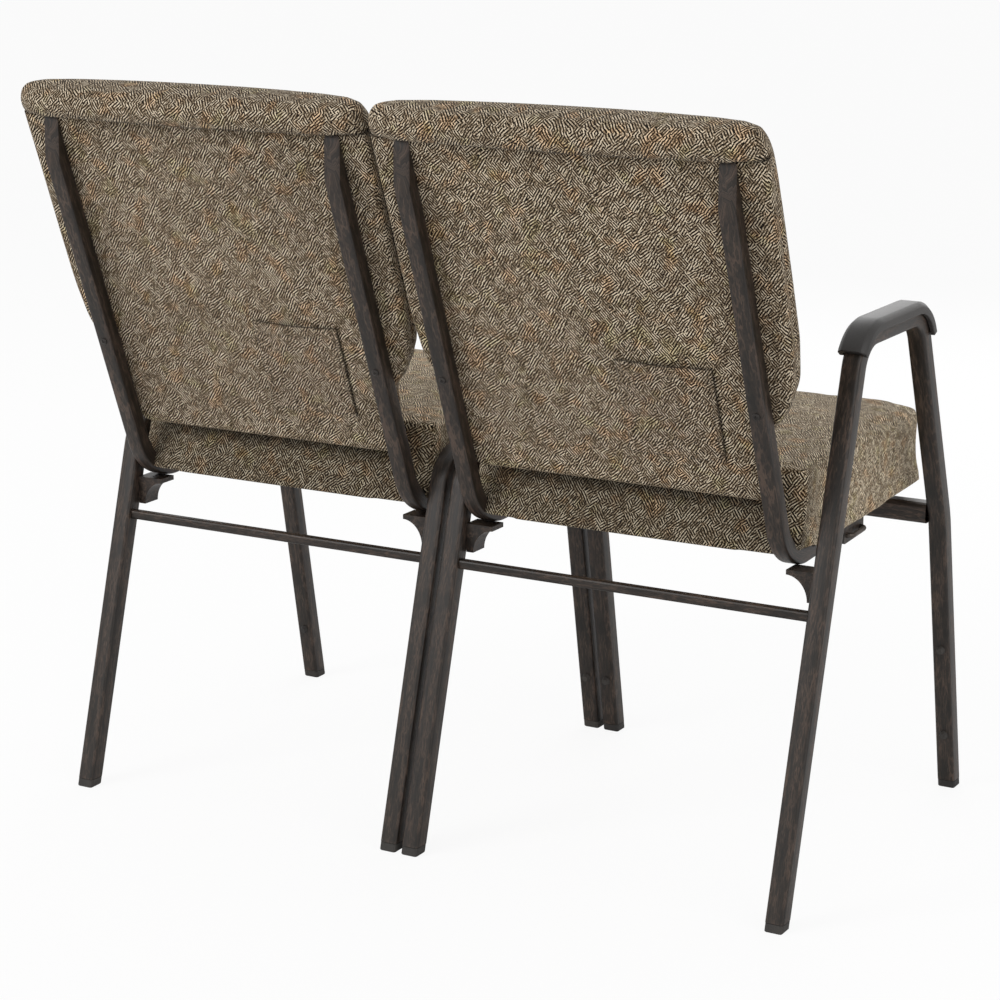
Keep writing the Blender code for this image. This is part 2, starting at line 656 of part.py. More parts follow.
def back_panel(name, chair):
    return piece(name, back_plate(PANEL_INSET, 0, PANEL_THICKNESS), CLOTH, chair)


def back_board(name, chair):
    near = PANEL_THICKNESS + GAP
    mesh = back_plate(PANEL_INSET + BACK_BOARD_INSET, near, near + BACK_BOARD_THICKNESS)
    return piece(name, mesh, PLYWOOD, chair)


def back_sections():
    """Cross sections up the back: height, half width, rear depth, edge depth, crown."""
    wing, tongue = BACK_WIDTH / 2 + CAGE_SWELL, TONGUE_WIDTH / 2 + CAGE_SWELL
    low, high = up_back(TONGUE_FOOT), up_back(BACK_TOP) - WING_EDGE / 2 * LEAN
    foot, crease = up_back(WING_FOOT), up_back(ROLL_FOOT)
    rear = 2 * GAP
    return [
        (low, tongue, rear, TONGUE_EDGE, 0),
        (low + 0.010, tongue, rear, TONGUE_EDGE, 0.1 * BACK_CROWN),
        (foot - 0.016, tongue, rear, (TONGUE_EDGE + WING_EDGE) / 2, 0.8 * BACK_CROWN),
        (foot, (tongue + wing - WING_CHAMFER) / 2, rear, WING_EDGE * 0.85, BACK_CROWN),
        (foot + 0.004, wing - WING_CHAMFER, rear, WING_EDGE * 0.85, BACK_CROWN),
        (foot + WING_CHAMFER, wing, rear, WING_EDGE, BACK_CROWN),
        ((foot + crease) / 2, wing, rear, WING_EDGE, BACK_CROWN),
        (crease - 0.006, wing, rear, WING_EDGE, 0.8 * BACK_CROWN),
        (crease + 0.002, wing, -ROLL_REACH, WING_EDGE, 0.7 * BACK_CROWN),
        ((crease + high) / 2 + 0.006, wing - 0.002, -ROLL_REACH - 0.002, WING_EDGE * 0.9, 0.6 * BACK_CROWN),
        (high, wing - 0.010, -ROLL_REACH * 0.3, WING_EDGE * 0.55, 0.3 * BACK_CROWN),
    ]


def back_pad(name, chair):
    """Padded front that wraps the board: a loft of the sections, hollowed for board and panel."""
    shape = bmesh.new()
    rings = []
    for up, half, rear, edge, crown in back_sections():
        middle = (rear + edge) / 2
        ring = [(-0.96, edge), (-0.5, edge + 0.75 * crown), (0, edge + crown), (0.5, edge + 0.75 * crown),
                (0.96, edge), (1, middle), (0.98, rear), (0.5, rear), (0, rear), (-0.5, rear),
                (-0.98, rear), (-1, middle)]
        rings.append([shape.verts.new((x * half, -depth, up)) for x, depth in ring])
    count = len(rings[0])
    for below, above in zip(rings, rings[1:]):
        for i in range(count):
            j = (i + 1) % count
            shape.faces.new((below[i], below[j], above[j], above[i]))
    for ring in (rings[0], rings[-1]):
        for a, b, c, d in ((0, 1, 9, 10), (1, 2, 8, 9), (2, 3, 7, 8), (3, 4, 6, 7)):
            shape.faces.new((ring[a], ring[b], ring[c], ring[d]))
        shape.faces.new((ring[4], ring[5], ring[6]))
        shape.faces.new((ring[10], ring[11], ring[0]))
    bmesh.ops.recalc_face_normals(shape, faces=shape.faces)
    mesh = bpy.data.meshes.new("back_pad")
    shape.to_mesh(mesh)
    shape.free()
    mesh.transform(BACK_FRAME)
    made = piece(name, mesh, CLOTH, chair)
    soften = made.modifiers.new("soften", "SUBSURF")
    soften.levels = 1
    soften.render_levels = 1
    bed = PANEL_THICKNESS + BACK_BOARD_THICKNESS + 2 * GAP
    cut(made, back_plate(PANEL_INSET - GAP, -2 * ROLL_REACH, bed), "MANIFOLD")
    return made


def card_pocket(name, chair):
    """A flat patch pocket sewn to the rear panel."""
    mesh = plate([rounded_box(POCKET_WIDTH, POCKET_HEIGHT, 0.004)], POCKET_THICKNESS)
    depth = POCKET_THICKNESS / 2 + GAP
    up = up_back(POCKET_FOOT) + POCKET_HEIGHT / 2
    stand = Matrix(((1, 0, 0, -POCKET_OFFSET), (0, 0, -1, depth), (0, 1, 0, up), (0, 0, 0, 1)))
    mesh.transform(BACK_FRAME @ stand)
    return piece(name, mesh, CLOTH, chair)


def guide_x():
    """Outer face of the wire guide and the hook, from the chair's centre line."""
    return BOARD_EDGE - GAP


def gang_guide(name, chair):
    """A block under the seat's right edge with two bores for the sliding wire."""
    width = WIRE_SPAN + 2 * GUIDE_MARGIN
    top, foot = SEAT_BASE - GAP, WIRE_Z - GUIDE_MARGIN
    centre = (top + foot) / 2
    bore = WIRE_RADIUS + SLIDE_GAP
    block = rounded_box(width, top - foot, 0.003)
    holes = [arc((s * WIRE_SPAN / 2, WIRE_Z - centre), bore, 0, 330, 11) for s in (1, -1)]
    mesh = plate([block] + holes, GUIDE_LENGTH)
    stand = Matrix(((0, 0, 1, -guide_x() + GUIDE_LENGTH / 2), (1, 0, 0, -WIRE_FORE), (0, 1, 0, centre),
                    (0, 0, 0, 1)))
    mesh.transform(SEAT_FRAME @ stand)
    return piece(name, mesh, PAINT, chair)


def gang_wire(name, slid, chair):
    """A U of round wire whose rods slide across the chair; slid is how far it is drawn out."""
    bar = -guide_x() - GAP - 2 * WIRE_RADIUS - slid
    inner = bar + WIRE_LENGTH
    half = WIRE_SPAN / 2
    corners = [(inner, half, 0), (bar, half, 0), (bar, -half, 0), (inner, -half, 0)]
    path = rounded_path(corners, [2.2 * WIRE_RADIUS] * 2)
    head = WIRE_HEAD / WIRE_RADIUS
    curve = bpy.data.curves.new(name, "CURVE")
    curve.dimensions = "3D"
    curve.bevel_depth = WIRE_RADIUS
    curve.bevel_resolution = 2
    curve.use_fill_caps = True
    inward = Vector((WIRE_HEAD_LENGTH, 0, 0))
    step = Vector((GAP, 0, 0))
    ends = [(path[0], head), (path[0] - inward, head), (path[0] - inward - step, 1)]
    run = ends + [(p, 1) for p in path[1:-1]]
    run += [(path[-1] - inward - step, 1), (path[-1] - inward, head), (path[-1], head)]
    spline = curve.splines.new("POLY")
    spline.points.add(len(run) - 1)
    for point, (place, swell) in zip(spline.points, run):
        point.co = (place.x, place.y - WIRE_FORE, place.z + WIRE_Z, 1)
        point.radius = swell
    mesh = solid_of(guide(name, curve))
    mesh.transform(SEAT_FRAME)
    return piece(name, mesh, WIRE_STEEL, chair)


def gang_hook(name, chair):
    """An angle plate under the seat's left edge; a neighbour's wire drops behind its web."""
    top, foot = SEAT_BASE - GAP, WIRE_Z - WIRE_RADIUS - HOOK_LIP
    outer = guide_x()
    angle = [(outer, top), (outer - HOOK_FLANGE, top), (outer - HOOK_FLANGE, top - HOOK_THICKNESS),
             (outer - HOOK_THICKNESS, top - HOOK_THICKNESS), (outer - HOOK_THICKNESS, foot), (outer, foot)]
    mesh = plate([angle], HOOK_WIDTH)
    stand = Matrix(((1, 0, 0, 0), (0, 0, -1, -WIRE_FORE), (0, 1, 0, 0), (0, 0, 0, 1)))
    mesh.transform(SEAT_FRAME @ stand)
    return piece(name, mesh, PAINT, chair)


def joined_slide():
    """How far a wire is drawn out to lie behind the next chair's hook."""
    hook_web = CHAIR_PITCH - guide_x() + HOOK_THICKNESS
    return hook_web + GAP + WIRE_RADIUS - (guide_x() + GAP + 2 * WIRE_RADIUS)


def build_chair(which, arms, wire_slide, row):
    """One chair with all its pieces; arms names the sides that carry an arm."""
    chair = empty(which + "_chair", (SIDES[which] * CHAIR_PITCH / 2, 0, 0), row)
    name = which + "_chair_"
    for side in SIDES:
        arm = side in arms
        leg_frame(name + "leg_frame_" + side, side, arm, chair)
        back_rail(name + "back_rail_" + side, side, chair)
        rail_plug(name + "rail_plug_" + side, side, chair)
        gusset(name + "gusset_" + side, side, arm, chair)
        foot_glide(name + "rear_glide_" + side, side, False, arm, chair)
        foot_glide(name + "front_glide_" + side, side, True, arm, chair)
        stacking_bumper(name + "bumper_" + side, side, arm, BUMPER_Z, chair)
        seat_bumper(name + "seat_bumper_" + side, side, chair)
        if arm:
            stacking_bumper(name + "upper_bumper_" + side, side, arm, UPPER_BUMPER_Z, chair)
            arm_cap(name + "arm_cap_" + side, side, chair)
    front = sum(front_leg_fore(CROSS_Z, side in arms) for side in SIDES) / 2
    between_legs(name + "front_cross_rail", front, CROSS_Z, CROSS_TUBE, CROSS_WALL, arms, chair)
    for side in SIDES:
        seat_spacer(name + "seat_spacer_" + side, side, front, chair)
    rear = rear_leg_fore(STRETCHER_HEIGHT)
    between_legs(name + "rear_stretcher", rear, STRETCHER_HEIGHT, STRETCHER_TUBE, STRETCHER_WALL, arms, chair)
    seat_board(name + "seat_board", chair)
    seat_pad(name + "seat_pad", chair)
    back_board(name + "back_board", chair)
    back_panel(name + "back_panel", chair)
    back_pad(name + "back_pad", chair)
    card_pocket(name + "card_pocket", chair)
    gang_guide(name + "gang_guide", chair)
    gang_wire(name + "gang_wire", wire_slide, chair)
    gang_hook(name + "gang_hook", chair)


def centre_row(row):
    """Put the origin under the middle of the finished row's box, on the floor."""
    bpy.context.view_layer.update()
    graph = bpy.context.evaluated_depsgraph_get()
    corners = []
    for made in PARTS.objects:
        if made.type == "MESH":
            mesh = made.evaluated_get(graph).data
            corners += [made.matrix_world @ v.co for v in mesh.vertices]
    low = [min(c[i] for c in corners) for i in range(2)]
    high = [max(c[i] for c in corners) for i in range(2)]
    row.location = (-(low[0] + high[0]) / 2, -(low[1] + high[1]) / 2, 0)
    bpy.context.view_layer.update()


ROW = empty("chair_row", (0, 0, 0))
build_chair("left", (), joined_slide(), ROW)
build_chair("right", ("right",), 0, ROW)
centre_row(ROW)
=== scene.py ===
# %% [markdown]
# # A two-seat waiting room chair
# Two padded stacking chairs stand hooked together, seen from behind and a little to the sitter's right.
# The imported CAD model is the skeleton: it fixes every size and place.
# This notebook dresses it with smooth bent tubes, stuffed cushions, sewn cloth and painted metal.

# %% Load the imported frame
import math

import bmesh
import bpy
import numpy as np
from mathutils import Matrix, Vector


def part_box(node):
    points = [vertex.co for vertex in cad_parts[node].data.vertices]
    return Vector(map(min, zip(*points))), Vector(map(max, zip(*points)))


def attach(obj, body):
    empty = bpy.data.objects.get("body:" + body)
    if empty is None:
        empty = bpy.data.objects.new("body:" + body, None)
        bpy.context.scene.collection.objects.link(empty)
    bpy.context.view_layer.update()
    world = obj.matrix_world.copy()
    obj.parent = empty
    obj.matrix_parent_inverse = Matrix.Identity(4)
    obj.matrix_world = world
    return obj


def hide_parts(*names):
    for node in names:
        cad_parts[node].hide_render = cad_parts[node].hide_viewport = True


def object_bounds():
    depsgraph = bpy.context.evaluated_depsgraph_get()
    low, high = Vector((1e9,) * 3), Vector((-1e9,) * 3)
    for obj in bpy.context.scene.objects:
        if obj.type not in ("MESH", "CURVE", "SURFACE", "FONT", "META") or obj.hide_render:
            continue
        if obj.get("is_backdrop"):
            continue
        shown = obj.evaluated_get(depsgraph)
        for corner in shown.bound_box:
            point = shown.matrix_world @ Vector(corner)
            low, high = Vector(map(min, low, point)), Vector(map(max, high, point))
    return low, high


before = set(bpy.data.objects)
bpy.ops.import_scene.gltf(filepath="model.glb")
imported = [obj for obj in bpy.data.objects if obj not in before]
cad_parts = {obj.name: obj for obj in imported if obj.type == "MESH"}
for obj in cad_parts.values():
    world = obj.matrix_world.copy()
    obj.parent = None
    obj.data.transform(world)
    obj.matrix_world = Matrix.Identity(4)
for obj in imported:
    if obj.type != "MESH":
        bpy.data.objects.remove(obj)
scene = bpy.context.scene
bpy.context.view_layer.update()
BODY = "joined_chairs"
CHAIRS = ("left", "right")
SIDES = {"left": 1, "right": -1}
REAR_SLOPE, STRETCHER_HEIGHT = 0.287, 0.3276
low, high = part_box("left_chair_rear_stretcher")
ROW_REAR = (low.y + high.y) / 2 + REAR_SLOPE * STRETCHER_HEIGHT  # Y of the line through the rear feet


def added(name, data):
    """A new object in the scene, at the origin."""
    made = bpy.data.objects.new(name, data)
    scene.collection.objects.link(made)
    return made


def chair_x(chair):
    """Middle of a chair across the row, from its seat board's box."""
    low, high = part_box(chair + "_chair_seat_board")
    return (low.x + high.x) / 2


print("frame:", len(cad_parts), "nodes; chairs at", [round(chair_x(c), 4) for c in CHAIRS])

# %% [markdown]
# ## Camera
# The camera was fitted to the photograph: first from the feet, the tube ends and the pad corners, then
# by matching the whole outline.
# A long lens from about three metres keeps the legs nearly parallel.

# %% Camera at the photograph's angle
camera_data = bpy.data.cameras.new("camera")
camera_data.sensor_width = 36
camera_data.lens = 99.18
camera = added("camera", camera_data)
camera.location = (chair_x("left") - 1.8149, ROW_REAR + 2.5622, 1.1810)
looking = Vector((0.47736, -0.84388, -0.24495))
camera.rotation_euler = looking.to_track_quat("-Z", "Y").to_euler()
scene.camera = camera
scene.view_settings.view_transform = "Standard"
print("camera at", tuple(round(v, 3) for v in camera.location))

# %% [markdown]
# ## Node helpers
# Every material here is a small tree of nodes. One function fills a node's inputs and another makes
# the node, so that a whole pattern reads as a short list.

# %% Helpers that build node trees


def fill(tree, node, inputs):
    """Give each named input of a node a value or another node's socket."""
    for key, value in inputs.items():
        if isinstance(value, bpy.types.NodeSocket):
            tree.links.new(value, node.inputs[key])
        else:
            node.inputs[key].default_value = value


def put(tree, kind, inputs, **options):
    """Make a node, set its options and fill its inputs."""
    made = tree.nodes.new(kind)
    for name, value in options.items():
        setattr(made, name, value)
    fill(tree, made, inputs)
    return made


def maths(tree, operation, a, b=0.0, c=0.0):
    """One sum on one, two or three values."""
    return put(tree, "ShaderNodeMath", {0: a, 1: b, 2: c}, operation=operation).outputs[0]


def vectors(tree, operation, a, b):
    """One sum on two vectors."""
    return put(tree, "ShaderNodeVectorMath", {0: a, 1: b}, operation=operation).outputs["Vector"]


def noise(tree, vector, scale, detail=2.0, roughness=0.5, output="Fac"):
    """Smooth noise from 0 to 1, at so many blobs per metre, as a value or three values in a colour."""
    return put(tree, "ShaderNodeTexNoise", {"Vector": vector, "Scale": scale, "Detail": detail,
                                            "Roughness": roughness}).outputs[output]


def ranged(tree, value, low, high, to_low=0.0, to_high=1.0):
    """Carry a value from one range into another, with soft ends."""
    return put(tree, "ShaderNodeMapRange", {"Value": value, "From Min": low, "From Max": high,
                                            "To Min": to_low, "To Max": to_high},
               interpolation_type="SMOOTHSTEP").outputs["Result"]


def axes_of(tree, vector):
    """The X, Y and Z of a vector."""
    return put(tree, "ShaderNodeSeparateXYZ", {0: vector}).outputs


def channels_of(tree, colour):
    """The three channels of a colour."""
    return put(tree, "ShaderNodeSeparateColor", {0: colour}).outputs


def either(tree, choice, a, b):
    """Value a where choice is 0, and b where it is 1."""
    return put(tree, "ShaderNodeMix", {0: choice, 2: a, 3: b}).outputs[0]


def mixed(tree, factor, a, b, blend="MIX"):
    """Two colours mixed; the colour inputs of a Mix node are numbers 6 and 7."""
    return put(tree, "ShaderNodeMix", {0: factor, 6: a, 7: b}, data_type="RGBA", blend_type=blend).outputs[2]


def shaded(tree, colour, shade):
    """A colour made lighter or darker by a value."""
    grey = put(tree, "ShaderNodeCombineColor", {0: shade, 1: shade, 2: shade}).outputs[0]
    return mixed(tree, 1.0, colour, grey, "MULTIPLY")


def linear(red, green, blue):
    """A colour given as 0-255 screen values, as the linear values that shaders use."""
    channel = [((c / 255 + 0.055) / 1.055) ** 2.4 if c > 10 else c / 255 / 12.92 for c in (red, green, blue)]
    return (*channel, 1.0)


def new_group(name, inputs, outputs):
    """An empty node group with named sockets; gives the tree, its input and output nodes."""
    tree = bpy.data.node_groups.new(name, "ShaderNodeTree")
    for label, kind, default in inputs:
        socket = tree.interface.new_socket(label, in_out="INPUT", socket_type=kind)
        if default is not None:
            socket.default_value = default
    for label, kind in outputs:
        tree.interface.new_socket(label, in_out="OUTPUT", socket_type=kind)
    return tree, tree.nodes.new("NodeGroupInput"), tree.nodes.new("NodeGroupOutput")


def new_material(name):
    """A material with a plain Principled shader; gives the material, its tree and the shader."""
    made = bpy.data.materials.new(name)
    made.use_nodes = True
    return made, made.node_tree, made.node_tree.nodes["Principled BSDF"]


def bumped(tree, shader, height, distance, strength=1.0):
    """Let a height pattern tilt the shading."""
    bump = put(tree, "ShaderNodeBump", {"Height": height, "Distance": distance, "Strength": strength})
    fill(tree, shader, {"Normal": bump.outputs["Normal"]})


# %% [markdown]
# ## Tweed
# The cushions are covered in a brown tweed. Its yarns run in short slanted strokes that change
# direction and strength from patch to patch, with rusty and mossy flecks.
# A weave is usually drawn on a UV map, but a stuffed pad has no tidy one. Here the stripes are drawn on
# the two axes that a face lies along: X and Z on an upright face, Y and Z on a side, X and Y on a level one.
# The surface's own normal picks the pair, so the strokes keep their size round every corner.

# %% Strokes of the tweed
STROKE_DIRECTIONS = ((0.80, 0.60), (0.80, -0.60), (0.58, 0.81))
STROKE_SHARES = (0.42, 0.74)  # where the second and the third direction take over
STROKE_PITCH, PATCH_SIZE = 0.0029, 0.0086
PATCH_WANDER = 0.0020  # how far the patches' edges stray


def along_face(tree, place, normal):
    """The two axes that a face lies along, picked by the largest part of its normal."""
    x, y, z = axes_of(tree, place)
    to_side, to_rear, to_top = [maths(tree, "ABSOLUTE", part) for part in axes_of(tree, normal)]
    side = maths(tree, "GREATER_THAN", to_side, maths(tree, "MAXIMUM", to_rear, to_top))
    level = maths(tree, "GREATER_THAN", to_top, maths(tree, "MAXIMUM", to_rear, to_side))
    return either(tree, side, x, y), either(tree, level, z, y)


def strokes(tree, place, normal, pitch, patch):
    """Ridges from -1 to 1: sin(2 pi d / pitch + phase), with steeper flanks.

    d is the place on the face measured along one of three directions. A patch of random cells picks the
    direction and the phase.
    """
    wander = vectors(tree, "SUBTRACT", noise(tree, place, 130, 1, output="Color"), (0.5, 0.5, 0.5))
    wander = vectors(tree, "MULTIPLY", wander, (PATCH_WANDER,) * 3)
    cells = put(tree, "ShaderNodeTexVoronoi",
                {"Vector": vectors(tree, "ADD", place, wander), "Scale": maths(tree, "DIVIDE", 1.0, patch),
                 "Randomness": 1.0})
    which, phase, _ = channels_of(tree, cells.outputs["Color"])
    across, rising = along_face(tree, place, normal)
    first, second, third = [maths(tree, "MULTIPLY_ADD", across, a, maths(tree, "MULTIPLY", rising, b))
                            for a, b in STROKE_DIRECTIONS]
    run = either(tree, maths(tree, "GREATER_THAN", which, STROKE_SHARES[0]), first, second)
    run = either(tree, maths(tree, "GREATER_THAN", which, STROKE_SHARES[1]), run, third)
    turn = maths(tree, "MULTIPLY", maths(tree, "DIVIDE", run, pitch), 2 * math.pi)
    turn = maths(tree, "ADD", turn, maths(tree, "MULTIPLY", phase, 2 * math.pi))
    return ranged(tree, maths(tree, "SINE", turn), -0.75, 0.75, -1.0, 1.0)


# %% [markdown]
# The yarn's height is the stroke, weaker or stronger from place to place, plus a fine fleck. A ramp turns
# the height into colour, from the dark gaps to the pale tops. Rust, moss and a broad unevenness come last.

# %% Tweed node group
YARN_RAMP = ((0.0, (6, 3, 1)), (0.25, (44, 33, 21)), (0.5, (94, 80, 62)), (0.75, (142, 125, 103)),
             (1.0, (216, 201, 177)))
RUST, MOSS = (1.13, 0.94, 0.78, 1), (0.97, 1.0, 0.74, 1)


def ramped(tree, value, stops):
    """Colour ramp through (place, screen colour) stops."""
    ramp = put(tree, "ShaderNodeValToRGB", {0: value})
    elements = ramp.color_ramp.elements
    for _ in stops[2:]:
        elements.new(0.5)
    for element, (where, colour) in zip(elements, stops):
        element.position = where
        element.color = linear(*colour)
    return ramp.outputs[0]


def build_tweed_group():
    """Colour and height of the tweed, from a place in metres and the surface's normal."""
    tree, entry, result = new_group(
        "tweed weave",
        [("Vector", "NodeSocketVector", None), ("Normal", "NodeSocketVector", None),
         ("Pitch", "NodeSocketFloat", STROKE_PITCH), ("Patch", "NodeSocketFloat", PATCH_SIZE)],
        [("Color", "NodeSocketColor"), ("Height", "NodeSocketFloat")])
    place = entry.outputs["Vector"]
    ridge = strokes(tree, place, *[entry.outputs[n] for n in ("Normal", "Pitch", "Patch")])
    strong = ranged(tree, noise(tree, place, 150), 0.30, 0.66)
    strength = maths(tree, "MULTIPLY_ADD", maths(tree, "MULTIPLY", strong, strong), 0.70, 0.60)
    stroke = maths(tree, "MULTIPLY", ridge, strength)
    fleck = maths(tree, "SUBTRACT", noise(tree, place, 620), 0.5)
    yarn = maths(tree, "MULTIPLY_ADD", fleck, 1.5, maths(tree, "MULTIPLY_ADD", stroke, 0.45, 0.445))
    reddish, greenish, _ = channels_of(tree, noise(tree, place, 38, output="Color"))
    tone = ramped(tree, yarn, YARN_RAMP)
    tone = mixed(tree, ranged(tree, reddish, 0.54, 0.68, 0.0, 0.8), tone, RUST, "MULTIPLY")
    tone = mixed(tree, ranged(tree, greenish, 0.56, 0.72, 0.0, 0.6), tone, MOSS, "MULTIPLY")
    broad = ranged(tree, noise(tree, place, 9), 0.3, 0.7, 0.93, 1.06)
    fill(tree, result, {"Color": shaded(tree, tone, broad), "Height": yarn})
    return tree


TWEED = build_tweed_group()
print("tweed group:", len(TWEED.nodes), "nodes")

# %% [markdown]
# The seat is level, so its cloth reads the object's own axes. The back leans, so its weave is turned
# with it by a Mapping node. Both use the same group. On the seat's rear face shade is painted into the
# cloth, darkest under the tongue, where the back overhangs it.

# %% Tweed materials
RECLINE = math.radians(20.8)
PAINTED_SHADE = (30, 24, 17)  # screen colour of the painted shade in the fold under the roll and along the pocket's edges
REAR_SHADE_Y = (ROW_REAR - 0.135, ROW_REAR - 0.113)  # Y places from the seat's top to its rear face, where the painted shade sets in
CREASE_BELOW, CREASE_ABOVE = (0.0070, 0.0005), (0.0005, 0.0030)  # how far from a fold's height its painted shadow fades
CREASE_BEHIND = (0.0200, 0.0100)  # and how far forward of the rear cloth
UNDER_TONGUE, REAR_SHADE_LOSS = (0.424, 0.452), (0.58, 0.83)  # heights on the seat's rear face, and how much light the painted shade takes away at each


def rear_shaded(tree, colour, place):
    """Cloth darkened by painted shade on the seat's rear face, most of all under the tongue."""
    _, y, z = axes_of(tree, place)
    lost = maths(tree, "MULTIPLY", ranged(tree, y, *REAR_SHADE_Y), ranged(tree, z, *UNDER_TONGUE, *REAR_SHADE_LOSS))
    return shaded(tree, colour, maths(tree, "MULTIPLY_ADD", lost, -1.0, 1.0))


def fold_shadowed(tree, colour, turned, rear, height):
    """Cloth with a painted shadow in a fold on the rear of the leaning back, just below a height up the lean.
    """
    _, y, z = axes_of(tree, turned)
    below = ranged(tree, z, *[height - d for d in CREASE_BELOW])
    above = ranged(tree, z, *[height + d for d in CREASE_ABOVE], 1.0, 0.0)
    behind = ranged(tree, y, *[rear - d for d in CREASE_BEHIND], 0.0, 0.6)
    fold = maths(tree, "MULTIPLY", maths(tree, "MULTIPLY", below, above), behind)
    return mixed(tree, fold, colour, linear(*PAINTED_SHADE))


def tweed_material(name, lean, tone=(1, 1, 1, 1), rear_shade=False, crease=None, seam_shade=None):
    """Tweed whose strokes lie along axes leaned back by an angle.

    crease gives the turned Y and Z of a fold under which a shadow is painted, and the last argument names the
    attribute that says how much painted shade lies along the sewn edges.
    """
    made, tree, shader = new_material(name)
    source = put(tree, "ShaderNodeTexCoord", {}).outputs
    turned, facing = [put(tree, "ShaderNodeMapping", {"Vector": source[output], "Rotation": (lean, 0, 0)},
                          vector_type=kind).outputs[0]
                      for output, kind in (("Object", "POINT"), ("Normal", "VECTOR"))]
    weave = put(tree, "ShaderNodeGroup", {"Vector": turned, "Normal": facing}, node_tree=TWEED)
    colour = mixed(tree, 1.0, weave.outputs["Color"], tone, "MULTIPLY")
    # Painted shade on the seat's rear face, darkest under the tongue.
    if rear_shade:
        colour = rear_shaded(tree, colour, source["Object"])
    # Painted shadow in the fold under the back's roll.
    if crease:
        colour = fold_shadowed(tree, colour, turned, *crease)
    # Painted shade along the pocket's sewn edges and behind its ridges.
    if seam_shade:
        edge_shade = put(tree, "ShaderNodeAttribute", {}, attribute_name=seam_shade).outputs["Fac"]
        colour = mixed(tree, edge_shade, colour, linear(*PAINTED_SHADE))
    fill(tree, shader, {"Base Color": colour, "Roughness": 0.95, "Specular IOR Level": 0.12,
                        "Sheen Weight": 0.05, "Sheen Roughness": 0.5})
    bumped(tree, shader, weave.outputs["Height"], 0.0007, 0.55)
    return made


# The seat's cloth is painted about half again lighter than the back's, as painted light on a seat that faces
# the lamps; its rear face also gets painted shade.
SEAT_TWEED = tweed_material("seat_tweed", 0, (1.52, 1.54, 1.52, 1), rear_shade=True)
POCKET_TWEED = tweed_material("pocket_tweed", RECLINE, (0.96, 0.95, 0.96, 1), seam_shade="seam_shade")
print("cloths:", SEAT_TWEED.name, POCKET_TWEED.name)

# %% [markdown]
# ## Hammered brown paint
# The tubes are powder coated in a dark brown with coppery veins drawn out along the tube.
# The bent tubes carry a UV map in metres, round the tube and along it, so the veins follow every bend.
# Straight brackets read object coordinates instead, through the same group.

# %% Vein paint group and materials


def build_vein_group():
    """Veins are where a stretched noise crosses its middle value, 1 - |noise - 0.5| / width, and broad
    blotches say where they are strong."""
    tree, entry, result = new_group(
        "vein paint", [("Vector", "NodeSocketVector", None)],
        [("Color", "NodeSocketColor"), ("Roughness", "NodeSocketFloat"), ("Height", "NodeSocketFloat")])
    place = entry.outputs["Vector"]
    grain = noise(tree, place, 260, 3, 0.6)
    blotch = noise(tree, place, 110, 3, 0.6)
    ridge = maths(tree, "ABSOLUTE", maths(tree, "SUBTRACT", grain, 0.5))
    vein = ranged(tree, ridge, 0.0, 0.075, 1.0, 0.0)
    vein = maths(tree, "MULTIPLY", vein, ranged(tree, blotch, 0.38, 0.66, 0.15, 1.0))
    base = mixed(tree, ranged(tree, blotch, 0.3, 0.7), linear(22, 18, 14), linear(47, 39, 33))
    speck = ranged(tree, noise(tree, place, 900), 0.42, 0.70, 0.0, 0.55)
    base = mixed(tree, speck, base, linear(16, 12, 9))
    colour = mixed(tree, maths(tree, "MULTIPLY", vein, 0.50), base, linear(94, 75, 63))
    fill(tree, result, {"Color": colour, "Roughness": maths(tree, "MULTIPLY_ADD", blotch, 0.22, 0.34),
                        "Height": maths(tree, "MULTIPLY_ADD", vein, 0.6, grain)})
    return tree


VEIN = build_vein_group()


def paint_material(name, output, stretch):
    """Vein paint on UV or Object coordinates, stretched along the tube."""
    made, tree, shader = new_material(name)
    place = put(tree, "ShaderNodeTexCoord", {}).outputs[output]
    drawn = put(tree, "ShaderNodeMapping", {"Vector": place, "Scale": stretch}).outputs[0]
    veins = put(tree, "ShaderNodeGroup", {"Vector": drawn}, node_tree=VEIN).outputs
    fill(tree, shader, {"Base Color": veins["Color"], "Roughness": veins["Roughness"],
                        "Specular IOR Level": 0.32, "Coat Weight": 0.08, "Coat Roughness": 0.3})
    bumped(tree, shader, veins["Height"], 0.0005, 0.4)
    return made


TUBE_PAINT = paint_material("tube_paint", "UV", (1.0, 0.14, 1.0))
BAR_PAINT = paint_material("bar_paint", "Object", (0.16, 1.0, 1.0))
BRACKET_PAINT = paint_material("bracket_paint", "Object", (1.0, 1.0, 1.0))
print("paints ready")

# %% [markdown]
# ## Plastic, rubber, wood and wire
# The small parts still need a surface of their own: a moulded grain on the arm cap, dust on the rubber,
# plies on the board's edge, and a slightly worn wire.

# %% Small finishes


def grained_material(name, dark, light, scale, roughness, distance, metallic=0.0):
    """Two tones in a fine random grain, with matching bump and gloss."""
    made, tree, shader = new_material(name)
    place = put(tree, "ShaderNodeTexCoord", {}).outputs["Object"]
    grain = noise(tree, place, scale, 3, 0.6)
    cloud = noise(tree, place, 14)
    tone = mixed(tree, ranged(tree, cloud, 0.3, 0.7), linear(*dark), linear(*light))
    gloss = maths(tree, "MULTIPLY_ADD", grain, 0.2, roughness - 0.1)
    fill(tree, shader, {"Base Color": tone, "Roughness": gloss, "Metallic": metallic})
    bumped(tree, shader, grain, distance, 0.5)
    return made


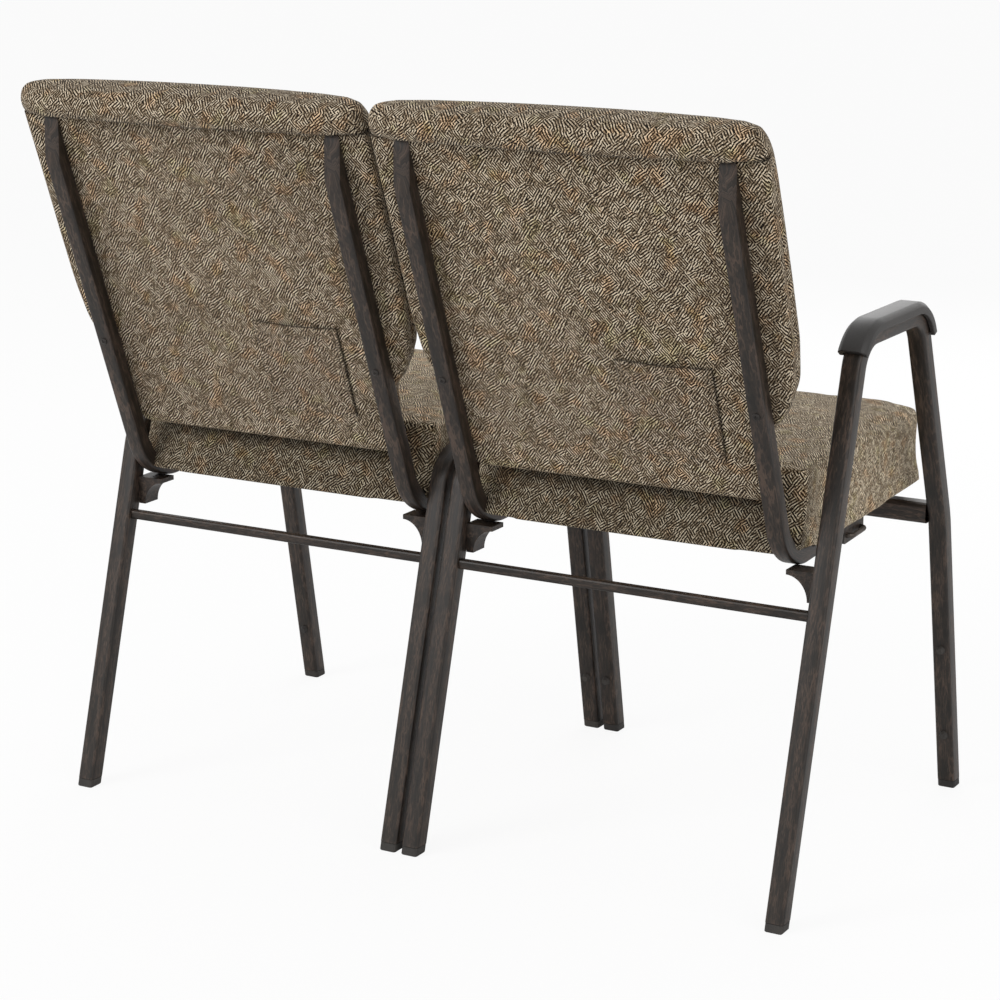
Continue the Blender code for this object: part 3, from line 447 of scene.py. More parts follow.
CAP_PLASTIC = grained_material("arm_cap_plastic", (29, 26, 24), (42, 38, 35), 1400, 0.46, 0.0003)
PLUG_PLASTIC = grained_material("plug_plastic", (30, 29, 28), (42, 40, 38), 1100, 0.5, 0.0002)
GLIDE_RUBBER = grained_material("glide_rubber", (30, 28, 27), (58, 54, 50), 700, 0.75, 0.0003)
WIRE_FINISH = grained_material("wire_finish", (52, 47, 43), (78, 70, 64), 500, 0.42, 0.0001, 0.5)
THREAD = grained_material("sewing_thread", (112, 98, 80), (150, 134, 112), 2500, 0.85, 0.0002)
SCREW_STEEL = grained_material("screw_steel", (34, 32, 31), (60, 56, 53), 900, 0.4, 0.0001, 0.6)


def plywood_material():
    """Plies as dark lines every 1.4 mm of height, over a long streaky grain."""
    made, tree, shader = new_material("seat_plywood")
    place = put(tree, "ShaderNodeTexCoord", {}).outputs["Object"]
    drawn = put(tree, "ShaderNodeMapping", {"Vector": place, "Scale": (1.0, 0.08, 1.0)}).outputs[0]
    grain = noise(tree, drawn, 240, 4, 0.6)
    plies = maths(tree, "PINGPONG", axes_of(tree, place)[2], 0.0014)
    face = mixed(tree, ranged(tree, grain, 0.3, 0.7), linear(92, 70, 48), linear(150, 121, 88))
    line = ranged(tree, plies, 0.0002, 0.0007, 0.45, 0.0)
    fill(tree, shader, {"Base Color": mixed(tree, line, face, linear(66, 48, 33)), "Roughness": 0.7})
    bumped(tree, shader, grain, 0.0003, 0.4)
    return made


PLYWOOD = plywood_material()

FINISHES = {
    "gusset": BRACKET_PAINT, "front_cross_rail": BAR_PAINT, "rear_stretcher": BAR_PAINT,
    "gang_guide": BRACKET_PAINT, "gang_hook": BRACKET_PAINT, "gang_wire": WIRE_FINISH,
    "rail_plug": PLUG_PLASTIC, "seat_spacer": BRACKET_PAINT, "glide": GLIDE_RUBBER, "bumper": GLIDE_RUBBER,
    "board": PLYWOOD,
}
for name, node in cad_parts.items():
    for word, finish in FINISHES.items():
        if word in name:
            node.material_slots[0].material = finish
print("CAD pieces refinished")

# %% [markdown]
# ## Surfaces from arrays
# A new piece is a grid of points: rows follow a path and columns go round a section.
# One function turns such a grid into a mesh, closes it round, caps its ends and carries a UV map in metres.

# %% Grid of points to mesh


def piece_from(name, mesh, finish):
    """A finished piece at the origin, riding on the joined chairs."""
    made = added(name, mesh)
    mesh.materials.clear()
    mesh.materials.append(finish)
    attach(made, BODY)
    return made


def signed_volume(points, faces):
    """Sum of the tetrahedra from the origin to each triangle of each face."""
    total = 0.0
    for step in range(1, faces.shape[1] - 1):
        a, b, c = points[faces[:, 0]], points[faces[:, step]], points[faces[:, step + 1]]
        total += np.einsum("ij,ij->i", a, np.cross(b, c)).sum() / 6
    return total


def grid_quads(rows, columns, closed=False):
    """Row and column of each face of a grid, and the numbers of its four points."""
    across = columns if closed else columns - 1
    row, column = np.meshgrid(np.arange(rows - 1), np.arange(across), indexing="ij")
    here, beside = row * columns + column, row * columns + (column + 1) % columns
    return row, column, np.stack([here, beside, beside + columns, here + columns], -1).reshape(-1, 4)


def loft(name, rows, uv=None, smooth=40):
    """Mesh of a grid (rows, columns, 3) whose columns close round, with flat caps on the first and last
    rows; smooth is the angle in degrees past which an edge shows."""
    count, around, _ = rows.shape
    points = rows.reshape(-1, 3)
    row, column, quads = grid_quads(count, around, closed=True)
    first = np.arange(around)
    caps = [first[::-1], first + (count - 1) * around]
    mesh = bpy.data.meshes.new(name)
    mesh.from_pydata(points.tolist(), [], quads.tolist() + [c.tolist() for c in caps])
    if uv is not None:
        across, along = uv
        corner_u = np.stack([across[column], across[column + 1], across[column + 1], across[column]], axis=-1)
        corner_v = np.stack([along[row], along[row], along[row + 1], along[row + 1]], axis=-1)
        body = np.stack([corner_u, corner_v], axis=-1).reshape(-1, 2)
        ends = [np.stack([across[c % around], np.full(around, along[k])], axis=-1)
                for c, k in zip(caps, (0, -1))]
        layer = mesh.uv_layers.new(name="metres")
        layer.data.foreach_set("uv", np.concatenate([body] + ends).astype(np.float32).ravel())
    if signed_volume(points - points.mean(0), quads) < 0:
        mesh.flip_normals()
    mesh.shade_smooth()
    mesh.set_sharp_from_angle(angle=math.radians(smooth))
    return mesh


# %% [markdown]
# ## Bent tubes
# Each leg frame is one length of square tube, bent over a former. It is a rounded square carried along
# a path of straight runs and arcs. The ends are mitred level with the floor and bored, as real tube is.

# %% Paths and sections
BEND_STEPS = 20


def unit(vector):
    """Vectors at length 1."""
    return vector / np.linalg.norm(vector, axis=-1, keepdims=True)


def run_length(points):
    """Length along a polyline at each of its points."""
    return np.concatenate([[0], np.cumsum(np.linalg.norm(np.diff(points, axis=0), axis=1))])


def bent_path(corners, radii):
    """Straight runs through (fore, height) corners. An arc of radius r leaves the run at r * tan(turn / 2)
    from the corner, and its centre lies on the bisector."""
    corners = np.asarray(corners, float)
    runs = [corners[:1]]
    for here, before, after, radius in zip(corners[1:-1], corners[:-2], corners[2:], radii):
        back, on = unit(before - here), unit(after - here)
        turn = math.pi - math.acos(np.clip(back @ on, -1, 1))
        centre = here + unit(back + on) * radius / math.cos(turn / 2)
        first = here + back * radius * math.tan(turn / 2) - centre
        sign = np.sign(on[0] * back[1] - on[1] * back[0])
        angle = sign * np.linspace(0, turn, BEND_STEPS)
        spin = np.stack([np.cos(angle), -np.sin(angle), np.sin(angle), np.cos(angle)], -1).reshape(-1, 2, 2)
        runs.append(centre + spin @ first)
    runs.append(corners[-1:])
    return np.concatenate(runs)


def rounded_square(size, corner, steps=5):
    """Outline of a square with quarter-circle corners, anticlockwise."""
    angle = np.linspace(0, math.pi / 2, steps)
    quarter = np.stack([np.cos(angle), np.sin(angle)], -1) * corner + (size / 2 - corner)
    turns = [np.array([[math.cos(a), -math.sin(a)], [math.sin(a), math.cos(a)]])
             for a in np.arange(4) * math.pi / 2]
    return np.concatenate([quarter @ t.T for t in turns])


def carried(path, x, section):
    """Section carried along a (fore, height) path in the plane at x: gives rings and unit tangents."""
    spine = np.stack([np.full(len(path), x), ROW_REAR - path[:, 0], path[:, 1]], -1)
    step = unit(np.diff(spine, axis=0))
    tangent = unit(np.concatenate([step[:1], step[:-1] + step[1:], step[-1:]]))
    side = np.array([1.0, 0, 0])
    normal = np.cross(tangent, side)
    rings = spine[:, None] + section[None, :, :1] * side + section[None, :, 1:] * normal[:, None]
    return rings, tangent


def slid(ring, along, point, normal):
    """Points of a ring slid along a direction until they lie on a plane."""
    reach = ((np.asarray(point) - ring) @ normal) / (along @ normal)
    return ring + reach[:, None] * along


def tube_uv(rings):
    """Metres round the section and along the path."""
    return run_length(np.concatenate([rings[0], rings[0][:1]])), run_length(rings.mean(1))


# %% Leg frames
LEG_TUBE, LEG_WALL, LEG_CORNER, LEG_BEND = 0.022, 0.0015, 0.0035, 0.045
LEG_SPACING, ARM_OUTSET = 0.441, 0.0185
FOOT_SPREAD, FRONT_SLOPE = 0.511, 0.185
PLAIN_TOP, ARM_TOP = 0.455 - LEG_TUBE / 2, 0.632 - LEG_TUBE / 2
ARM_FOOT, ARM_KNEE, ARM_KNEE_BEND, ARM_UPPER_SLOPE = 0.525, (0.4534, 0.36), 0.16, 0.385
GLIDE_TOP, BORE_DEPTH = 0.010, 0.030


def leg_corners(arm):
    """Corners and bends of a leg frame's centre line, as (fore, height)."""
    if not arm:
        front = FOOT_SPREAD - FRONT_SLOPE * PLAIN_TOP
        corners = [(0, 0), (REAR_SLOPE * PLAIN_TOP, PLAIN_TOP), (front, PLAIN_TOP), (FOOT_SPREAD, 0)]
        return corners, [LEG_BEND, LEG_BEND]
    front = ARM_KNEE[0] - ARM_UPPER_SLOPE * (ARM_TOP - ARM_KNEE[1])
    corners = [(0, 0), (REAR_SLOPE * ARM_TOP, ARM_TOP), (front, ARM_TOP), ARM_KNEE, (ARM_FOOT, 0)]
    return corners, [LEG_BEND, LEG_BEND, ARM_KNEE_BEND]


def leg_x(chair, side, arm):
    """Centre line of a leg frame across the row."""
    return chair_x(chair) + SIDES[side] * (LEG_SPACING / 2 + (ARM_OUTSET if arm else 0))


def leg_tube(chair, side):
    """One bent frame: bored at both feet and cut level above its glides."""
    arm = (chair, side) == ("right", "right")
    corners, bends = leg_corners(arm)
    path = bent_path(corners, bends)
    x = leg_x(chair, side, arm)
    rings, tangent = carried(path, x, rounded_square(LEG_TUBE, LEG_CORNER))
    bore, _ = carried(path, x, rounded_square(LEG_TUBE - 2 * LEG_WALL, LEG_CORNER - LEG_WALL))
    floor, up = (0, 0, GLIDE_TOP), np.array([0, 0, 1.0])
    ends = []
    for k, inward in ((0, tangent[0]), (-1, -tangent[-1])):
        rings[k] = slid(rings[k], tangent[k], floor, up)
        mouth = slid(bore[k], tangent[k], floor, up)
        ends.append([mouth + inward * BORE_DEPTH, mouth])
    rows = np.concatenate([ends[0], rings, ends[1][::-1]])
    name = f"{chair}_chair_leg_tube_{side}"
    made = piece_from(name, loft(name, rows, tube_uv(rows)), TUBE_PAINT)
    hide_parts(f"{chair}_chair_leg_frame_{side}")
    return made


LEGS = [leg_tube(chair, side) for chair in CHAIRS for side in SIDES]
print("leg tubes:", len(LEGS), "with", len(LEGS[0].data.polygons), "faces each")

# %% [markdown]
# ## Back rails
# Each J-shaped rail rises behind the back with a flattened, slanted tip, bends under the seat and ends
# there in a plug. Its tip is cut by a slanted plane and slightly domed.

# %% Back rails
RAIL_TUBE, RAIL_WALL, RAIL_CORNER, RAIL_BEND = 0.020, 0.0015, 0.003, 0.066
RAIL_SPACING, RAIL_Z, RAIL_RUN = 0.382, 0.380, 0.093
SEAT_TILT = math.radians(2.2)
RAIL_CORNER_FORE, UPRIGHT_TOP, UPRIGHT_TIP = 0.1017, 0.836, 0.052
TIP_ROUND, TIP_DOME = 0.0012, ((0.55, 0.0006), (0.9, 0.0))  # rounding of the tip; (share, rise) of its rings
TOUCH = 0.0003  # gap between touching pieces
PANEL_FORE = RAIL_CORNER_FORE + (RAIL_TUBE / 2 + TOUCH) / math.cos(RECLINE)
UP = np.array([0, math.sin(RECLINE), math.cos(RECLINE)])  # up the leaning back
FORWARD = np.array([0, -math.cos(RECLINE), math.sin(RECLINE)])  # out of its front


def back_origin(chair):
    """Where the rear cloth's plane comes down to the rail's height, in the middle of the chair."""
    return np.array([chair_x(chair), ROW_REAR - PANEL_FORE, RAIL_Z])


def on_back(chair, x, depth, up):
    """Points in the back's own frame: across, forward of the rear cloth's plane, and up the lean."""
    x, depth, up = np.broadcast_arrays(x, depth, up)
    across = x[..., None] * np.array([1.0, 0, 0])
    return back_origin(chair) + across + depth[..., None] * FORWARD + up[..., None] * UP


def up_back(height):
    """Distance up the lean of a height above the floor."""
    return (height - RAIL_Z) / math.cos(RECLINE)


def back_rail(chair, side):
    """J-shaped tube: slanted domed tip, bend, short run and an open bored front end."""
    x = chair_x(chair) + SIDES[side] * RAIL_SPACING / 2
    above = UPRIGHT_TOP + RAIL_TUBE
    tip_fore = RAIL_CORNER_FORE - math.tan(RECLINE) * (above - RAIL_Z)
    corner = np.array([RAIL_CORNER_FORE, RAIL_Z])
    front = corner + RAIL_RUN * np.array([math.cos(SEAT_TILT), math.sin(SEAT_TILT)])
    path = bent_path([(tip_fore, above), corner, front], [RAIL_BEND])
    rings, tangent = carried(path, x, rounded_square(RAIL_TUBE, RAIL_CORNER))
    bore, _ = carried(path, x, rounded_square(RAIL_TUBE - 2 * RAIL_WALL, RAIL_CORNER - RAIL_WALL))
    tip = on_back(chair, 0.0, -TOUCH, up_back(UPRIGHT_TOP))
    slant = unit(RAIL_TUBE * UP - UPRIGHT_TIP * FORWARD)
    rings[0] = slid(rings[0], tangent[0], tip, slant)
    middle = rings[0].mean(0)
    domes = [middle + (rings[0] - middle) * scale + slant * rise for scale, rise in TIP_DOME]
    shoulder = rings[0] + tangent[0] * TIP_ROUND
    mouth = bore[-1]
    rows = np.concatenate([domes, [shoulder], rings[1:], [mouth, mouth - tangent[-1] * BORE_DEPTH]])
    name = f"{chair}_chair_j_rail_{side}"
    made = piece_from(name, loft(name, rows, tube_uv(rows)), TUBE_PAINT)
    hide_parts(f"{chair}_chair_back_rail_{side}")
    return made


RAILS = [back_rail(chair, side) for chair in CHAIRS for side in SIDES]
print("back rails:", len(RAILS))

# %% [markdown]
# ## Arm cap
# A moulded channel snaps over the arm and follows both bends. Its section is a shallow U upside down,
# with a flat top and bevelled long edges.

# %% Arm cap
CAP_WIDTH, CAP_RISE, CAP_DROP = 0.034, 0.0075, 0.006
CAP_REAR_BARE = 4  # steps of the rear bend that the cap leaves bare
CAP_EDGE = np.array([(0, 0.0060), (0.0004, 0.0050), (0.0050, 0.0006), (0.0065, 0)])  # in and down


def arm_cap():
    """Channel section carried along the arm, over most of the rear bend and the whole front bend."""
    corners, bends = leg_corners(True)
    path = bent_path(corners[:4], bends[:2])[1 + CAP_REAR_BARE:-1]
    inner, outer = LEG_TUBE / 2 + TOUCH, CAP_WIDTH / 2
    skirt, crest = LEG_TUBE / 2 - CAP_DROP, LEG_TUBE / 2 + CAP_RISE
    right = np.array([(outer, crest)]) - CAP_EDGE
    left = right[::-1] * (-1, 1)
    channel = np.array([(-outer, skirt), (-inner, skirt), (-inner, inner), (inner, inner), (inner, skirt),
                        (outer, skirt)])
    section = np.concatenate([channel, right, left])
    rings, _ = carried(path, leg_x("right", "right", True), section)
    made = piece_from("arm_cap", loft("arm_cap", rings, smooth=50), CAP_PLASTIC)
    ease = made.modifiers.new("ease", "BEVEL")
    ease.width = 0.0009
    ease.segments = 2
    ease.limit_method = "ANGLE"
    ease.angle_limit = math.radians(50)
    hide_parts("right_chair_arm_cap_right")
    return made


ARM_CAP = arm_cap()
print("arm cap:", len(ARM_CAP.data.polygons), "faces")

# %% [markdown]
# ## Cushions
# A foam pad under tight cloth is round where nothing holds it and flat where a board does.
# Each pad starts as a copy of its CAD solid, is remeshed to even small faces, and is then blown up
# gently as cloth, with the points beside the board pinned. The two chairs share one shape each.

# %% Cloth-simulated pads
VOXEL, RELAX_ROUNDS = 0.005, 6
CLOTH_FRAMES, PRESSURE, STIFFNESS, SWELL = 20, 3.0, 40, 0.003  # SWELL is the farthest that a point may move


def smooth_step(value, low, high):
    """0 below low, 1 above high, 3t^2 - 2t^3 between."""
    t = np.clip((value - low) / (high - low), 0, 1)
    return t * t * (3 - 2 * t)


def node_copy(node):
    """A welded copy of a CAD node's mesh."""
    shape = bmesh.new()
    shape.from_mesh(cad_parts[node].data)
    bmesh.ops.remove_doubles(shape, verts=shape.verts, dist=0.00002)
    mesh = bpy.data.meshes.new(node + "_copy")
    shape.to_mesh(mesh)
    shape.free()
    return mesh


def coordinates(mesh):
    """Vertex places as an array."""
    places = np.zeros(len(mesh.vertices) * 3, np.float32)
    mesh.vertices.foreach_get("co", places)
    return places.reshape(-1, 3).astype(float)


def put_back(mesh, places):
    """Give a mesh's vertices new places."""
    mesh.vertices.foreach_set("co", places.astype(np.float32).ravel())
    mesh.update()


def baked(made):
    """The object's evaluated mesh, with its modifiers taken off."""
    graph = bpy.context.evaluated_depsgraph_get()
    graph.update()
    mesh = bpy.data.meshes.new_from_object(made.evaluated_get(graph))
    made.modifiers.clear()
    made.data = mesh
    return mesh


def relaxed(mesh, places, weight):
    """Smooth by steps towards the mean of each point's neighbours, as far as its weight says.

    Every step in is followed by a slightly longer step out (Taubin's method), so the pad keeps its size.
    """
    edges = np.zeros(len(mesh.edges) * 2, np.int32)
    mesh.edges.foreach_get("vertices", edges)
    a, b = edges.reshape(-1, 2).T
    valence = np.bincount(np.concatenate([a, b]), minlength=len(places))[:, None]
    for _ in range(RELAX_ROUNDS):
        for step in (1.0, -1.03):
            total = np.zeros_like(places)
            np.add.at(total, a, places[b])
            np.add.at(total, b, places[a])
            places = places + step * weight[:, None] * (total / valence - places)
    return places


def blown_up(made, held):
    """Inflate as cloth, then let each point move only outwards, and no farther than SWELL."""
    before = coordinates(made.data)
    outward = np.zeros(before.size, np.float32)
    made.data.vertices.foreach_get("normal", outward)
    outward = outward.reshape(-1, 3).astype(float)
    group = made.vertex_groups.new(name="held")
    group.add(np.flatnonzero(held).tolist(), 1.0, "REPLACE")
    cloth = made.modifiers.new("cloth", "CLOTH")
    cloth.settings.use_pressure = True
    cloth.settings.uniform_pressure_force = PRESSURE
    cloth.settings.effector_weights.gravity = 0
    cloth.settings.vertex_group_mass = "held"
    cloth.settings.tension_stiffness = cloth.settings.compression_stiffness = STIFFNESS
    cloth.point_cache.frame_end = CLOTH_FRAMES
    for number in range(1, CLOTH_FRAMES + 1):
        scene.frame_set(number)
    after = coordinates(baked(made))
    scene.frame_set(1)
    moved = np.einsum("ij,ij->i", after - before, outward)
    return before + outward * np.clip(moved, 0, SWELL)[:, None]


def stuffed(node, axes, held_by, weight_by):
    """Remeshed, relaxed, inflated and smoothed copy of a pad's solid, kept within the solid's size.

    axes carries places into the pad's own frame; the points come out in that frame.
    """
    made = added(node + "_stuffed", node_copy(node))
    solid = axes(coordinates(made.data))
    even = made.modifiers.new("even", "REMESH")
    even.mode = "VOXEL"
    even.voxel_size = VOXEL
    mesh = baked(made)
    places = coordinates(mesh)
    put_back(mesh, relaxed(mesh, places, weight_by(axes(places))))
    inflated = blown_up(made, held_by(axes(coordinates(mesh))))
    put_back(made.data, inflated)
    finer = made.modifiers.new("finer", "SUBSURF")
    finer.levels = finer.render_levels = 1
    mesh = baked(made)
    own = axes(coordinates(mesh))
    bpy.data.objects.remove(made)
    return mesh, np.clip(own, solid.min(0), solid.max(0))


def cushion(name, mesh, places, finish, node):
    """One chair's pad: a copy of the shared mesh with its own places."""
    copy = mesh.copy()
    put_back(copy, places)
    copy.shade_smooth()
    pad = piece_from(name, copy, finish)
    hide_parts(node)
    return pad


print("pad tools ready")

# %% [markdown]
# ### Seat pads
# The seat is a crowned box on a board that tilts up a little towards the front. Its sides draw in between
# the corners, its top edge is rounded by the foam, and its lower edge hangs round the board. The rear
# corners are fuller, because the foam fills them out beside the rails.

# %% Seat pads
BOARD_RISE = 0.0103  # from the rail's centre line up to the board's underside
CORNER_FILL = 0.020  # how far the rear corners are pushed outwards
CORNER_FORE, CORNER_ACROSS = (0.020, 0.080), (0.140, 0.182)  # where that fades out and in
SEAT_UP = np.array([0, math.sin(SEAT_TILT), math.cos(SEAT_TILT)])
SEAT_ON = np.array([0, -math.cos(SEAT_TILT), math.sin(SEAT_TILT)])


def seat_origin(chair):
    """The corner of the rail's centre line, in the middle of the chair."""
    return np.array([chair_x(chair), ROW_REAR - RAIL_CORNER_FORE, RAIL_Z])


def seat_axes(places):
    """Places in the right seat's own frame: across, forward and above the board's underside."""
    local = places - seat_origin("right")
    return np.stack([local[:, 0], local @ SEAT_ON, local @ SEAT_UP - BOARD_RISE], -1)


def from_seat(own, chair):
    """The way back from the seat's own frame."""
    across = own[:, :1] * np.array([1.0, 0, 0])
    return seat_origin(chair) + across + own[:, 1:2] * SEAT_ON + (own[:, 2:] + BOARD_RISE) * SEAT_UP


def seat_held(own):
    """Points beside and under the board."""
    return own[:, 2] < 0.011


def seat_weight(own):
    """Relax the top and the sides, and leave the lower edge crisp."""
    return np.clip((own[:, 2] + 0.006) / 0.02, 0, 1) * 0.5


def squared_off(own):
    """Foam fills out the rear corners beside the rails, within the pad's width."""
    x, forward = np.abs(own[:, 0]), own[:, 1]
    rear = 1 - smooth_step(forward, *CORNER_FORE)
    out = np.minimum(x + CORNER_FILL * rear * smooth_step(x, *CORNER_ACROSS), x.max())
    own[:, 0] = np.sign(own[:, 0]) * out
    return own


def seat_pads():
    """One stuffed shape, placed on both seats."""
    mesh, own = stuffed("right_chair_seat_pad", seat_axes, seat_held, seat_weight)
    own = squared_off(own)
    return [cushion(f"{chair}_chair_seat_cushion", mesh, from_seat(own, chair), SEAT_TWEED,
                    f"{chair}_chair_seat_pad") for chair in CHAIRS]


SEATS = seat_pads()
print("seat cushions:", [len(p.data.vertices) for p in SEATS], "points")

# %% [markdown]
# ### Back pads
# The back has broad wings and a narrower tongue that runs down behind the seat. A thick roll along the top
# hangs over the rear cloth, and a shadow is painted into the fold under it. The two backs share one shape.

# %% Back pads
ROLL_FOOT, WING_FOOT, TONGUE_FOOT, WING_CHAMFER = 0.838, 0.540, 0.449, 0.036
BED = 0.0116  # depth of the board's bed
RIM_DEPTH = 0.0022  # room behind the pad's rim for the rear cover
# The fold under the roll, where a painted shadow darkens the rear cloth.
CREASE = (float(-FORWARD @ back_origin("right")), float(UP @ back_origin("right") + up_back(ROLL_FOOT)))
BACK_TWEED = tweed_material("back_tweed", RECLINE, crease=CREASE)


def back_axes(places):
    """Places in the right back's own frame: across, depth and up."""
    local = places - back_origin("right")
    return np.stack([local[:, 0], local @ FORWARD, local @ UP], -1)


def back_held(own):
    """The bed and the rim beside the board."""
    return (own[:, 1] < BED + 0.002) & (own[:, 2] < up_back(ROLL_FOOT) - 0.004)


def back_weight(own):
    """Relax all but the held points, which hardly move."""
    return np.where(back_held(own), 0.08, 0.5)


def back_pads():
    """One stuffed shape, placed on both backs; below the roll its rim leaves room for the cover."""
    mesh, own = stuffed("right_chair_back_pad", back_axes, back_held, back_weight)
    below_roll = own[:, 2] < up_back(ROLL_FOOT) - 0.001
    own[:, 1] = np.where(below_roll, np.maximum(own[:, 1], RIM_DEPTH), own[:, 1])
    made = [cushion(f"{chair}_chair_back_cushion", mesh, on_back(chair, *own.T), BACK_TWEED,
                    f"{chair}_chair_back_pad") for chair in CHAIRS]
    return made, own


BACKS, BACK_OWN = back_pads()
print("back cushions:", [len(p.data.vertices) for p in BACKS], "points")

# %% [markdown]
# ## Rear covers
# One cloth covers the whole rear of a back. It folds round the edge and meets the pad's side in a seam
# about 12 mm forward, so its outline is measured from the finished pad. The lower hem is doubled.

# %% Rear covers
LIP = 0.012  # depth of the seam on the sides
FOLD = 0.007  # radius of the fold round the edge
COVER_DEPTH = 0.0004  # rear face of the cloth
COVER_SKIN = 0.0012  # the cloth's thickness
COVER_ROWS, COVER_COLUMNS = 110, 90  # points over its flat part
HEM_RISE, HEM_HEIGHT = 0.0010, 0.011
HEM_END = (0.168, 0.175)  # where the doubled hem fades out across
TONGUE_CORNER = 0.012  # rounding of the tongue's lower corners


def pad_half_width(heights):
    """Half width of the pad where the seam lies, read from its points and evened out."""
    x, depth, up = BACK_OWN.T
    near = np.abs(depth - LIP) < 0.005
    widest = np.array([np.abs(x[near & (np.abs(up - h) < 0.006)]).max() for h in heights])
    kernel = np.array([1, 2, 3, 2, 1]) / 9
    return np.convolve(np.pad(widest, 2, mode="edge"), kernel, "valid") + 0.0008


def cover_grid():
    """Points (rows, columns, 3) of the cover in the back's own frame.

    Across, a row runs lip, fold, flat, fold, lip. The lowest rows fold the same way round the tongue's foot.
    """
    foot, top = up_back(TONGUE_FOOT) + 0.0005, up_back(ROLL_FOOT) - 0.0012
    bend = np.linspace(0, math.pi / 2, 8)
    rising = foot + np.linspace(FOLD, top - foot, COVER_ROWS)
    heights = np.concatenate([np.full(2, foot), foot + FOLD * (1 - np.cos(bend[:-1])), rising])
    sunk = np.concatenate([[LIP, (LIP + FOLD) / 2], FOLD * (1 - np.sin(bend[:-1])), np.zeros(len(rising))])
    half = pad_half_width(np.clip(heights, foot + 0.006, None))
    corner = np.clip((foot + TONGUE_CORNER - heights) / TONGUE_CORNER, 0, 1)
    half = (half - TONGUE_CORNER * (1 - np.sqrt(1 - corner ** 2)) * 0.5)[:, None]
    flat = np.linspace(1, -1, COVER_COLUMNS)[1:-1]
    edge_x = np.concatenate([np.zeros(3), FOLD * (1 - np.cos(bend[1:]))])
    edge_depth = np.concatenate([np.linspace(LIP, FOLD, 3), FOLD * (1 - np.sin(bend[1:]))])
    x = np.concatenate([half - edge_x, flat * (half - FOLD), edge_x[::-1] - half], 1)
    dip = np.concatenate([edge_depth, np.zeros(len(flat)), edge_depth[::-1]])
    depth = sunk[:, None] + dip * (LIP - sunk[:, None]) / LIP + COVER_DEPTH
    up = np.broadcast_to(heights[:, None], x.shape)
    inside = 1 - smooth_step(np.abs(x), *HEM_END)
    hem = smooth_step(up - foot, 0.001, 0.003) * (1 - smooth_step(up - foot, HEM_HEIGHT, HEM_HEIGHT + 0.0012))
    return x, depth - HEM_RISE * hem * inside, up


def grid_mesh(name, points):
    """Open sheet mesh of a grid of points, with its area."""
    quads = grid_quads(*points.shape[:2])[-1]
    flat = points.reshape(-1, 3)
    mesh = bpy.data.meshes.new(name)
    mesh.from_pydata(flat.tolist(), [], quads.tolist())
    mesh.shade_smooth()
    one, two = flat[quads[:, 2]] - flat[quads[:, 0]], flat[quads[:, 3]] - flat[quads[:, 1]]
    return mesh, np.linalg.norm(np.cross(one, two), axis=1).sum() / 2


def thickened(made, thickness):
    """Give a sheet its thickness on its front, whichever way its faces point."""
    faces = made.data.polygons
    skin = made.modifiers.new("skin", "SOLIDIFY")
    skin.thickness = thickness
    skin.offset = -1 if faces[len(faces) // 2].normal.dot(Vector(FORWARD)) < 0 else 1


def rear_cover(chair):
    """The cloth over the rear of one back."""
    name = f"{chair}_chair_rear_cover"
    mesh, area = grid_mesh(name, on_back(chair, *cover_grid()))
    made = piece_from(name, mesh, BACK_TWEED)
    thickened(made, COVER_SKIN)
    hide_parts(f"{chair}_chair_back_panel")
    return made, area


for cover, area in [rear_cover(chair) for chair in CHAIRS]:
    print(cover.name, "area", round(float(area), 4))

# %% [markdown]
# ## Card pockets
# A patch pocket is sewn to the rear cover. Its edges are folded under, which makes a ridge down each side,
# and its mouth stands a little open. The height of the cloth is a sum of such ridges. Shade is painted
# along the edges and behind the ridges, so each point also carries how dark it is.

# %% Card pockets
POCKET_WIDTH, POCKET_HEIGHT, POCKET_OFFSET, POCKET_FOOT = 0.116, 0.118, -0.080, 0.494
POCKET_SKIN = 0.0010
POCKET_COLUMNS, POCKET_ROWS = 70, 64


def pocket_rise(across, along):
    """Height of the pocket's cloth over the cover, from places in metres from its lower left corner."""
    side = np.minimum(across, POCKET_WIDTH - across)
    ridge = 0.0011 * np.exp(-((side - 0.0028) / 0.0020) ** 2)
    groove = -0.0004 * np.exp(-((side - 0.0068) / 0.0014) ** 2)
    sole = 0.0008 * np.exp(-((along - 0.0025) / 0.0018) ** 2)
    hem = 0.0008 * smooth_step(along, POCKET_HEIGHT - 0.0150, POCKET_HEIGHT - 0.0135)
    middle = np.sin(math.pi * across / POCKET_WIDTH)
    mouth = 0.0042 * middle * smooth_step(along, 0.45 * POCKET_HEIGHT, POCKET_HEIGHT)
    belly = 0.0012 * middle * np.sin(math.pi * along / POCKET_HEIGHT)
    return 0.0016 + ridge + groove + sole + hem + mouth + belly


def pocket_edge_shade(across, along):
    """0 to 1: painted shade along the sides and the mouth, strongest on the right, and a fainter one behind
    each ridge.

    Each line is a bell curve of the distance in from an edge: strength, distance, middle and width.
    """
    left, right, mouth = across, POCKET_WIDTH - across, POCKET_HEIGHT - along
    lines = [(0.45, left, 0.0, 0.0014), (0.90, right, 0.0, 0.0020), (0.80, mouth, 0.0, 0.0016),
             (0.30, left, 0.0066, 0.0010), (0.50, right, 0.0066, 0.0010), (0.30, mouth, 0.0145, 0.0010)]
    return np.max([share * np.exp(-((inward - at) / width) ** 2) for share, inward, at, width in lines], 0)


def on_pocket(across, along, lift=0.0):
    """x, depth and up on the back of places on a pocket, lifted off its cloth."""
    return (POCKET_OFFSET + POCKET_WIDTH / 2 - across, COVER_DEPTH - (pocket_rise(across, along) + lift),
            up_back(POCKET_FOOT) + along)


